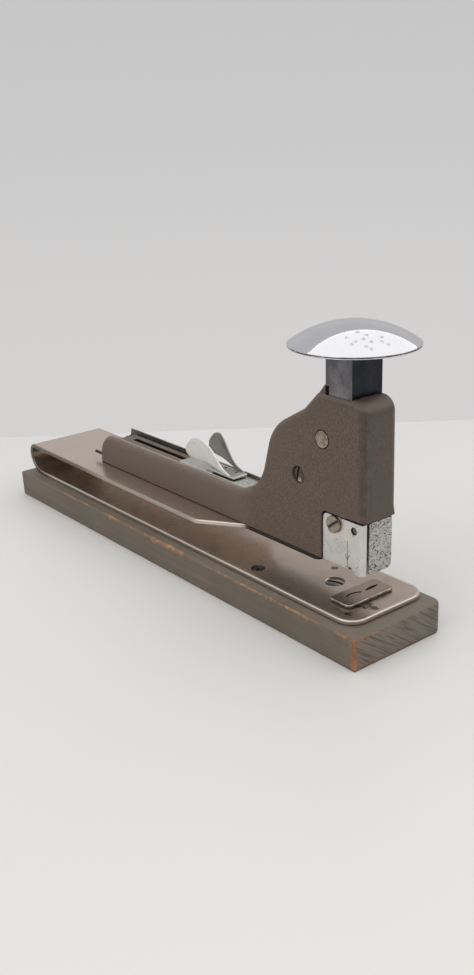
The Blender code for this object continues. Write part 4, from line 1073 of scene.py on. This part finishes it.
def fine_screw(name, node, body, slot, material, direction, kind, slit=None, dome=0.0, segments=64,
               inner=(0.0, 1.0), radius=None, shift=(0, 0, 0), slit_material=None):
    """A screw, pin or rivet in place of its CAD node, its shape read from the node's box.

    kind is "sunk" for a countersunk head, "cheese" for a raised one and "plain" for neither. slit is
    (half width, depth, turn[, offset]), and inner is the head's depth and the shank's radius.
    """
    lo, hi = span(node)
    axis = int(np.argmax(np.abs(direction)))
    sign = direction[axis]
    others = [k for k in range(3) if k != axis]
    radius = radius or (hi[others[0]] - lo[others[0]]) / 2
    length = hi[axis] - lo[axis]
    origin = (lo + hi) / 2
    origin[axis] = hi[axis] if sign > 0 else lo[axis]
    origin = origin + np.array(shift)
    head, shank = inner
    soft = min(0.25, radius * 0.12)
    profile = [(0, 0)]
    for k in range(1, 5):
        r = (radius - soft) * k / 4
        profile.append((r, -dome * (k / 4) ** 2))
    for k in range(1, 4):
        a = math.pi / 2 * k / 3
        profile.append((radius - soft + soft * math.sin(a), -dome - soft * (1 - math.cos(a))))
    if kind == "sunk":
        profile += [(radius, -dome - soft - 0.05), (shank, -dome - soft - head)]
    elif kind == "cheese":
        profile += [(radius, -head), (shank, -head)]
    profile += [(shank, -length + 0.3), (shank - 0.25, -length), (0, -length)]
    obj = lathe(name, profile, material, segments)
    if slit:
        half, depth, turn, *offset = slit
        aside = offset[0] if offset else 0.0
        reach = radius + 2
        corners = (-reach, aside - half, -depth), (reach, aside + half, 3)
        # slots take the recess colour unless another is given: painted shade in them
        tool = block("slit", *corners, slit_material or RECESS_SHADE)
        place(tool, (0, 0, 0), (0, 0, 1), turn)
        carve(obj, [tool])
    place(obj, origin, direction)
    shade(obj, 30)
    return put(obj, body, slot, node)


def fasteners():
    """Screws, pins and the latch stub, each with its slot and depth."""
    fine_screw("stop_pin_head", "stop_pin", "head", "nickel", PIN_NICKEL, (0, -1, 0), "cheese", None, 0.45,
               inner=(0.95, 2.0), radius=3.75, shift=(0.2, 0, 0.3))
    fine_screw("side_screw", "body_screw", "head", "dark_steel", SIDE_SCREW, (0, -1, 0), "sunk",
               (0.5, 1.0, math.radians(80), -0.8), 0.25, inner=(2.0, 2.1), radius=3.45,
               shift=(-0.3, 0, 0.1))
    for side, sign in (("near", -1), ("far", 1)):
        fine_screw(f"nose_{side}_screw", f"nose_screw_{side}", "head", "nickel", PIN_NICKEL, (0, sign, 0),
                   "cheese", (0.55, 0.75, math.radians(-38 * sign)), 0.2, inner=(1.4, 0.6),
                   shift=(0.3, 0, -0.6), slit_material=GRIME)
    fine_screw("nose_dowel_pin", "nose_dowel", "head", "dark_steel", DARK, (0, -1, 0), "plain", None, 0.2, 40,
               inner=(0, 1.5))
    turns = {"front": 20, "near": -55, "far": -55, "middle": -55, "rear": 40}
    for which, turn in turns.items():
        small = which in ("near", "far")
        material = SCREW if which == "front" else GRIMY_SCREW
        slit = (0.4 if small else 0.8, 1.3, math.radians(turn))
        dome, inner = (0.9, (1.6, 1.4)) if small else (0.45, (1.9, 1.9))
        fine_screw(f"base_{which}_screw", f"base_screw_{which}", "base", "strip_steel", material, (0, 0, 1),
                   "sunk", slit, dome, 48, inner)
    for which in ("rear", "middle", "front"):
        fine_screw(f"leaf_{which}_screw", f"leaf_screw_{which}", "head", "dark_steel", SCREW, (0, 0, -1),
                   "sunk", (0.4, 0.7, 0.3), 0.0, 40, inner=(1.5, 1.6))
    fine_screw("latch_stub", "latch_pin", "head", "dark_steel", GRIMY_SCREW, (-1, 0, 0), "plain", None,
               0.1, 24, inner=(0, 0.8))


def nose():
    """Plated nose pieces: the side with its engraved arrow, and the pitted front."""
    lo, hi = span("nose_side_plate")
    y = lo[1]
    front, rear = hi[0], lo[0]
    thick = 1.8
    inner = y + thick
    far = -y
    top = hi[2] - 0.55
    foot = lo[2]
    behind = foot + 1.5

    def pressed(name, node, material, plan, bevel, tools):
        """A plate from its plan, trimmed to the nose's side view, with soft edges."""
        obj = stack(name, even_rows(plan), [(0, foot - 2), (0, top + 2)], material)
        view = even_rows([(rear, behind, 0), (119.4, behind, 0.3), (120.4, foot, 0.3), (front + 2, foot, 0),
                          (front + 2, top, 0), (rear, top, 2.7)])
        carve(obj, [stack("view", view, [(0, y - 2), (0, far + 2)], material, upright=True)], "INTERSECT")
        soften(obj, bevel)
        carve(obj, tools)
        shade(obj, 35)
        return put(obj, "head", "nickel", node)

    def mark(name, outline, depth=0.16, material=LINE):
        layers = [(0.0, y + depth), (0.0, y - 1.0)]
        return stack(name, even_rows(outline), layers, material, upright=True)

    def bore(x, z, radius, side):
        # the bores take the recess colour: painted shade inside
        hole = lathe("bore", [(0, 3), (radius, 3), (radius, -4), (0, -4)], RECESS_SHADE, 40)
        return place(hole, (x, side * far, z), (0, side, 0))

    shaft = 115.6
    tools = [
        mark("shaft", [(shaft - 0.15, 33.2, 0), (shaft + 0.15, 33.2, 0), (shaft + 0.15, 44.0, 0),
                       (shaft - 0.15, 44.0, 0)]),
        mark("barb", [(shaft, 34.9, 0), (shaft + 1.35, 37.9, 0), (shaft + 1.05, 38.0, 0), (shaft, 35.8, 0),
                      (shaft - 1.05, 37.8, 0), (shaft - 1.35, 37.6, 0)]),
        mark("nick", [(116.3, 30.0, 0.2), (118.3, 30.0, 0.2), (118.1, 32.5, 0.6), (116.5, 32.7, 0.6)],
             0.7, GRIME),
        bore(107.9, 49.4, 0.85, -1),
        bore(119.3, 49.4, 1.72, -1),
    ]
    lip = -6.15
    side_plan = [(rear - 2, inner, 0), (rear - 2, y, 0), (front, y, 1.5), (front, lip, 0.2),
                 (front - thick, lip, 0), (front - thick, inner, 0.6)]
    pressed("nose_side", "nose_side_plate", NICKEL, side_plan, 0.18, tools)
    near, back = -4.72, 117.7
    front_plan = [(back, near, 0), (front, near, 0.2), (front, far, 1.0), (rear - 2, far, 0),
                  (rear - 2, far - thick, 0), (back, far - thick, 0)]
    chamfer = block("chamfer", (110, -1.6, -1.6), (130, 1.6, 1.6), NICKEL_FRONT)
    corner = Matrix.Translation((0, far * MM, foot * MM))
    chamfer.data.transform(corner @ Matrix.Rotation(math.radians(45), 4, "X"))
    tools = [chamfer, bore(107.9, 49.4, 0.85, 1)]
    pressed("nose_front", "nose_front_plate", NICKEL_FRONT, front_plan, 0.18, tools)


def knob():
    """Thin domed shell with a rolled rim and a boss below its crown."""
    lo, hi = span("knob")
    radius = (hi[0] - lo[0]) / 2
    crown = hi[2]
    height = crown - 125.2
    sphere = (radius**2 + height**2) / (2 * height)
    bead = 0.24
    ending = radius - 0.42 * bead

    def dome(r):
        return crown - sphere + math.sqrt(sphere**2 - r**2)

    profile = [(ending * k / 32, dome(ending * k / 32)) for k in range(33)]
    lean = math.asin(ending / sphere)
    upper = (ending - bead * math.sin(lean), dome(ending) - bead * math.cos(lean))
    for k in range(1, 8):
        a = math.pi / 2 - lean - math.radians(145) * k / 7
        profile.append((upper[0] + bead * math.cos(a), upper[1] + bead * math.sin(a)))
    groove = (upper[1] - 0.24, upper[1] - 0.6)
    profile += [(radius - 0.7, groove[0]), (radius - 0.7, groove[1])]
    lower = (radius - 0.3, upper[1] - 0.78)
    for k in range(8):
        a = math.radians(80 - 250 * k / 7)
        profile.append((lower[0] + 0.2 * math.cos(a), lower[1] + 0.2 * math.sin(a)))
    shell = 1.2
    boss = 7.5
    for k in range(16):
        r = 25.4 + (boss + 0.5 - 25.4) * k / 15
        profile.append((r, dome(r) - shell))
    foot = lo[2]
    profile += [(boss, dome(boss) - shell - 0.5), (boss, foot + 0.5), (boss - 0.5, foot), (0, foot)]
    obj = lathe("palm_knob", profile, CHROME, 160)
    # the groove's faces take the painted shade of the dark line under the rim
    obj.data.materials.append(KNOB_RIM_SHADE)
    for face in obj.data.polygons:
        out = math.hypot(face.center.x, face.center.y)
        within = groove[1] - 0.1 < face.center.z / MM < groove[0] + 0.1
        if within and (radius - 0.72) * MM < out < (radius - 0.26) * MM:
            face.material_index = 1
    obj.data.transform(Matrix.Translation(((lo[0] + hi[0]) / 2 * MM, 0, 0)))
    shade(obj, 40, weighted=False)
    return put(obj, "plunger", "chrome", "knob")


# ---------------------------------------------------------------- magazine


def magazine():
    """Steel channel with softened rims and a slanted rear end, and the staples' ridged back."""
    slant = block("slant", (-90, -12, 30), (-60, 12, 70), DARK)
    for vertex in slant.data.vertices:
        if vertex.co.x > -0.07:
            vertex.co.x = (-67.2 + (vertex.co.z / MM - 36.0) * 0.16) * MM
    flush = block("flush", (-90, -8, 47.3), (130, -5.0, 52), DARK)
    channel = refined("magazine", "magazine_channel", "head", "dark_steel", DARK, 0.18, [slant, flush])
    low, high = span("magazine_channel")
    end = block("wall_end", (-69.3, high[1] - 0.52, 42.0), (-64.0, high[1] - 0.04, high[2] - 0.12), DARK)
    for vertex in end.data.vertices:
        if vertex.co.x < -0.069:
            vertex.co.x += (vertex.co.z / MM - high[2]) * 0.25 * MM
    carve(channel, [end], "UNION")
    shade(channel)
    lo, hi = span("staple_strip")
    pitch = 0.56
    count = int((hi[0] - lo[0]) / pitch)
    half = hi[1]
    bend = 0.55
    section = [(-half, lo[2])]
    for k in range(5):
        a = math.pi / 2 * k / 4
        section.append((-half + bend * (1 - math.cos(a)), hi[2] - bend * (1 - math.sin(a))))
    section += [(-y, z) for y, z in section[::-1]]
    thick = 0.5
    inner = [(y * (half - thick) / half, z if z == lo[2] else z - thick) for y, z in section[::-1]]
    loop = section + inner
    verts = []
    n = len(loop)
    stations = []
    for k in range(count):
        start = lo[0] + k * (hi[0] - lo[0]) / count
        width = (hi[0] - lo[0]) / count
        stations += [(start + width * 0.06, 0.09), (start + width * 0.3, 0.0), (start + width * 0.7, 0.0),
                     (start + width * 0.94, 0.09)]
    for x, sink in stations:
        for index, (y, z) in enumerate(loop):
            if index < len(section):
                rise = z - lo[2] - 2
                length = math.hypot(y, rise) or 1
                y -= y / length * sink
                z -= rise / length * sink if z > lo[2] else 0
            verts.append((x, y, z))
    faces = ring_faces(len(stations), n)
    for base in (0, (len(stations) - 1) * n):
        for j in range(len(section) - 1):
            faces.append((base + j, base + j + 1, base + n - 2 - j, base + n - 1 - j))
    obj = mesh_piece("staples", np.array(verts) * MM, faces, STAPLES)
    shade(obj, 50, weighted=False)
    put(obj, "head", "staple_wire", "staple_strip")
    refined("rail", "core_rail", "head", "dark_steel", RAIL, 0.18)


def smooth_curve(points, count):
    """Catmull-Rom points through the given ones."""
    p = [Vector(q) for q in points]
    p = [p[0] * 2 - p[1]] + p + [p[-1] * 2 - p[-2]]
    made = []
    for k in range(count):
        t = k / (count - 1) * (len(p) - 3)
        i = min(int(t), len(p) - 4)
        f = t - i
        a, b, c, d = p[i : i + 4]
        bend = (2 * a - 5 * b + 4 * c - d) * f * f + (3 * b - a - 3 * c + d) * f**3
        made.append(0.5 * (2 * b + (c - a) * f + bend))
    return made


def ear(sign):
    """One finger ear: a thin curved leaf that sweeps up and back from the plate's front."""
    stations = 36
    upper = smooth_curve([(31.2, 4.3, 49.6), (28.6, 4.2, 50.4), (25.6, 4.2, 51.9), (22.6, 4.2, 54.5),
                          (20, 4.3, 57.5), (17.5, 4.9, 60), (14, 5.7, 62.7), (10.4, 6.6, 63.6),
                          (6, 7.0, 62.5), (2.6, 7.1, 59.5), (1.2, 7.1, 57.6)], stations)
    lower = smooth_curve([(31.6, 4.4, 48.6), (29.4, 4.4, 49.0), (26.5, 4.5, 49.7), (23, 4.6, 50.5),
                          (19, 4.9, 51.5), (15, 5.3, 52.3), (11, 5.7, 52.6), (8, 6.0, 52.7),
                          (4.5, 6.5, 53.1), (2.4, 6.8, 53.9), (1.0, 7.0, 55.2)], stations)
    across = 9
    thick = 0.4
    grid = []
    for low, high in zip(lower, upper):
        row = []
        for j in range(across):
            v = j / (across - 1)
            point = low.lerp(high, v)
            point.y += min(0.5, 0.08 * (high - low).length) * math.sin(math.pi * v)
            row.append(Vector((point.x, point.y * sign, point.z)))
        grid.append(row)
    count = len(grid)
    normals = []
    for i in range(count):
        row = []
        for j in range(across):
            du = grid[min(i + 1, count - 1)][j] - grid[max(i - 1, 0)][j]
            dv = grid[i][min(j + 1, across - 1)] - grid[i][max(j - 1, 0)]
            row.append(du.cross(dv).normalized())
        normals.append(row)
    boundary = [(i, 0) for i in range(count)] + [(count - 1, j) for j in range(1, across)]
    boundary += [(i, across - 1) for i in range(count - 2, -1, -1)]
    boundary += [(0, j) for j in range(across - 2, 0, -1)]
    verts = []
    for side in (1, -1):
        for i in range(count):
            for j in range(across):
                verts.append(grid[i][j] + normals[i][j] * thick * side)
    size = count * across
    faces = []
    for i in range(count - 1):
        for j in range(across - 1):
            a = i * across + j
            quad = (a, a + 1, a + across + 1, a + across)
            faces.append(quad)
            faces.append(tuple(size + q for q in quad[::-1]))
    rims = []
    for i, j in boundary:
        centre = grid[min(max(i, 1), count - 2)][min(max(j, 1), across - 2)]
        outward = grid[i][j] - centre
        outward -= normals[i][j] * outward.dot(normals[i][j])
        outward = outward.normalized()
        ring = []
        for angle in (math.radians(35), 0, math.radians(-35)):
            ring.append(len(verts))
            point = grid[i][j] + outward * thick * math.cos(angle) * 0.9
            verts.append(point + normals[i][j] * thick * math.sin(angle))
        rims.append([i * across + j] + ring + [size + i * across + j])
    for index, rim in enumerate(rims):
        after = rims[(index + 1) % len(rims)]
        faces += list(zip(rim, rim[1:], after[1:], after))
    return mesh_piece("ear", [v * MM for v in verts], faces, EAR_NICKEL)


DENTS = [(20.3, 2.0), (29.2, 1.5)]
PLATE_TOP = 49.3


def pusher():
    """Saddle, lug, plate with its two small dents, and the finger ears."""
    half = 4.5
    obj = plate("pusher_plate", [(12, -half, 0.5), (34.5, -half, 0.9), (34.5, half, 0.9), (12, half, 0.5)],
                PLATE_TOP - 1.1, PLATE_TOP, 0.4, EAR_NICKEL)
    lo, hi = span("pusher")
    half = 5.55
    outer = [(-half, 41.0, 0), (half, 41.0, 0), (half, 47.8, 0.8), (-half, 47.8, 0.8)]
    inner = [(-half + 0.5, 38.0, 0), (half - 0.5, 38.0, 0), (half - 0.5, 47.3, 0.5), (-half + 0.5, 47.3, 0.5)]

    def along_x(name, outline, x_low, x_high):
        made = plate(name, outline, x_low, x_high, 0.02, EAR_NICKEL)
        made.data.transform(Matrix(((0, 0, 1, 0), (1, 0, 0, 0), (0, 1, 0, 0), (0, 0, 0, 1))))
        return made

    saddle = along_x("saddle", outer, lo[0], 18.75)
    carve(saddle, [along_x("saddle_inside", inner, -12, 22)])
    riser = block("riser", (12.6, -4.2, 47.4), (17.7, 4.2, 49.0), EAR_NICKEL)
    neck = block("neck", (-8.0, -1.2, 44.5), (-4.0, 1.2, 47.6), EAR_NICKEL)
    lug = plate("lug", [(-8.0, -3.5, 0.5), (-4.0, -3.5, 0.5), (-4.0, 3.5, 0.5), (-8.0, 3.5, 0.5)],
                39.2, 45.2, 0.3, EAR_NICKEL)
    carve(obj, [riser, saddle, neck, lug, ear(-1), ear(1)], "UNION")
    hole = place(lathe("rod_hole", [(0, 4), (1.4, 4), (1.4, -8), (0, -8)], DARK, 24), (-4, 0, 42), (1, 0, 0))
    marks = []
    for x, y in DENTS:
        # the dents take the recess colour: painted shade in them
        mark = lathe("dent", [(0, 1), (0.75, 1), (0.75, -0.35), (0, -0.45)], RECESS_SHADE, 24)
        mark.data.transform(Matrix.Diagonal((0.8, 1.6, 1, 1)))
        marks.append(place(mark, (x, y, PLATE_TOP), (0, 0, 1)))
    carve(obj, [hole] + marks)
    shade(obj, 38)
    return put(obj, "pusher", "nickel", "pusher")


def spring(name, node, axis, mean, wire_radius, turns):
    """A round-wire coil in place of a CAD spring."""
    lo, hi = span(node)
    other = [k for k in range(3) if k != axis]
    centre = (lo + hi) / 2
    low, high = lo[axis] + wire_radius, hi[axis] - wire_radius
    steps = turns * 24
    sides = 10
    verts = []
    for k in range(steps + 1):
        share = k / steps
        a = 2 * math.pi * turns * share
        along = low + (high - low) * share
        radial = (math.cos(a), math.sin(a))
        for j in range(sides):
            b = 2 * math.pi * j / sides
            r = mean + wire_radius * math.cos(b)
            point = [0.0, 0.0, 0.0]
            point[axis] = along + wire_radius * math.sin(b)
            point[other[0]] = centre[other[0]] + r * radial[0]
            point[other[1]] = centre[other[1]] + r * radial[1]
            verts.append([c * MM for c in point])
    faces = ring_faces(steps + 1, sides)
    faces.append(tuple(range(sides)))
    faces.append(tuple(range(steps * sides, (steps + 1) * sides)))
    obj = mesh_piece(name, verts, faces, SPRING)
    shade(obj, 50, weighted=False)
    put(obj, "head", "spring_steel", node)
    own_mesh(obj)
    return obj


wood_block()
folded_strip()
anvil()
casting()
fasteners()
nose()
knob()
magazine()
pusher()
spring("plunger_spring", "return_spring", 2, 4.0, 0.6, 9)
spring("feed_spring", "pusher_spring", 0, 2.0, 0.3, 18)
refined("plunger_bar", "plunger", "plunger", "blued_steel", BLUED, 0.35)
refined("blade", "driver_blade", "plunger", "dark_steel", DARK, 0.12)
for material, nodes in (
    (DARK, ("knob_stud", "spring_post", "core_plug")),
    (SPRING, ("driver_rivet_lower", "driver_rivet_upper", "guide_rod", "channel_rivet_rear",
              "channel_rivet_front")),
):
    for node in nodes:
        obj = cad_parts[node]
        if not obj.material_slots:
            obj.data.materials.append(material)
        for material_slot in obj.material_slots:
            material_slot.material = material


# ---------------------------------------------------------------- stage, light and camera


def stage():
    """A pale table top that ends in a straight line behind the object."""
    s = Surface("table_paint", specular=0.35)
    table = s.finish(s.mix(s.noise(3.0, 3, 0.5), *TABLE_PAINT), 0.42, s.bump(s.noise(300, 3), 0.0002, 0.1))
    near, far = Vector((-0.2509, 0.0151, 0)), Vector((-0.0519, 0.2791, 0))
    along = (far - near).normalized()
    out = Vector((along.y, -along.x, 0))
    middle = (near + far) / 2
    corners = [middle + along * a + out * b for a, b in ((-3, 0), (3, 0), (3, 4), (-3, 4))]
    mesh = bpy.data.meshes.new("table")
    mesh.from_pydata([tuple(c) for c in corners], [], [(0, 1, 2, 3)])
    link("table", mesh, table)


def area(name, location, target, size, power, colour, turn=0.0):
    """A soft rectangular lamp that faces its target."""
    data = bpy.data.lights.new(name, "AREA")
    data.shape = "RECTANGLE"
    data.size, data.size_y = size
    data.energy = power
    data.color = colour
    obj = bpy.data.objects.new(name, data)
    bpy.context.scene.collection.objects.link(obj)
    obj.location = location
    obj.rotation_mode = "QUATERNION"
    facing = (Vector(target) - Vector(location)).to_track_quat("-Z", "Y")
    obj.rotation_quaternion = facing @ Quaternion((0, 0, 1), turn)


def light():
    """A wide ceiling panel, a small window, and surroundings that are brighter behind the table."""
    world = bpy.data.worlds.new("studio")
    bpy.context.scene.world = world
    world.use_nodes = True
    s = Surface.around(world)
    x, y, z = s.axes()
    back = s.minus(s.times(y, 0.157), s.times(x, 0.9875))
    back = s.step(s.minus(back, s.times(z, 0.801)), 0.0, 0.02)
    wall = s.mix(s.step(z, -0.25, 0.1), WALL_LOW, WALL_HIGH)
    wall = s.mix(s.step(z, 0.12, 0.3), wall, WALL_UPPER)
    s.wire(s.mix(back, ROOM, wall), world.node_tree.nodes["Background"].inputs["Color"])
    area("ceiling", (0.535, 0.3, 1.15), (0.535, 0.3, 0.0), (2.5, 3.6), 32, (1.0, 0.99, 0.975),
         math.radians(-9))
    area("window", (0.2, -1.7, 1.0), (0.05, 0.0, 0.06), (1.1, 0.9), 6, (1.0, 0.99, 0.98))


def camera():
    """Camera solved from the object's straight edges."""
    yaw, pitch, roll = math.radians(-51.84), math.radians(-20.38), math.radians(-1.87)
    forward = Vector((math.sin(yaw) * math.cos(pitch), math.cos(yaw) * math.cos(pitch), math.sin(pitch)))
    right = Vector((math.cos(yaw), -math.sin(yaw), 0))
    up = right.cross(forward)
    level = right * math.cos(roll) + up * math.sin(roll)
    top = up * math.cos(roll) - right * math.sin(roll)
    matrix = Matrix.Identity(4)
    for row in range(3):
        matrix[row][0], matrix[row][1], matrix[row][2] = level[row], top[row], -forward[row]
    matrix.translation = Vector((0.39279, -0.28411, 0.21329))
    data = bpy.data.cameras.new("view")
    data.sensor_width = 36.0
    data.lens = 36.0 * 1021.05 / 975
    data.clip_start = 0.02
    data.clip_end = 50
    obj = bpy.data.objects.new("view", data)
    bpy.context.scene.collection.objects.link(obj)
    obj.matrix_world = matrix
    bpy.context.scene.camera = obj


stage()
light()
camera()
bpy.context.scene.view_settings.view_transform = "Standard"
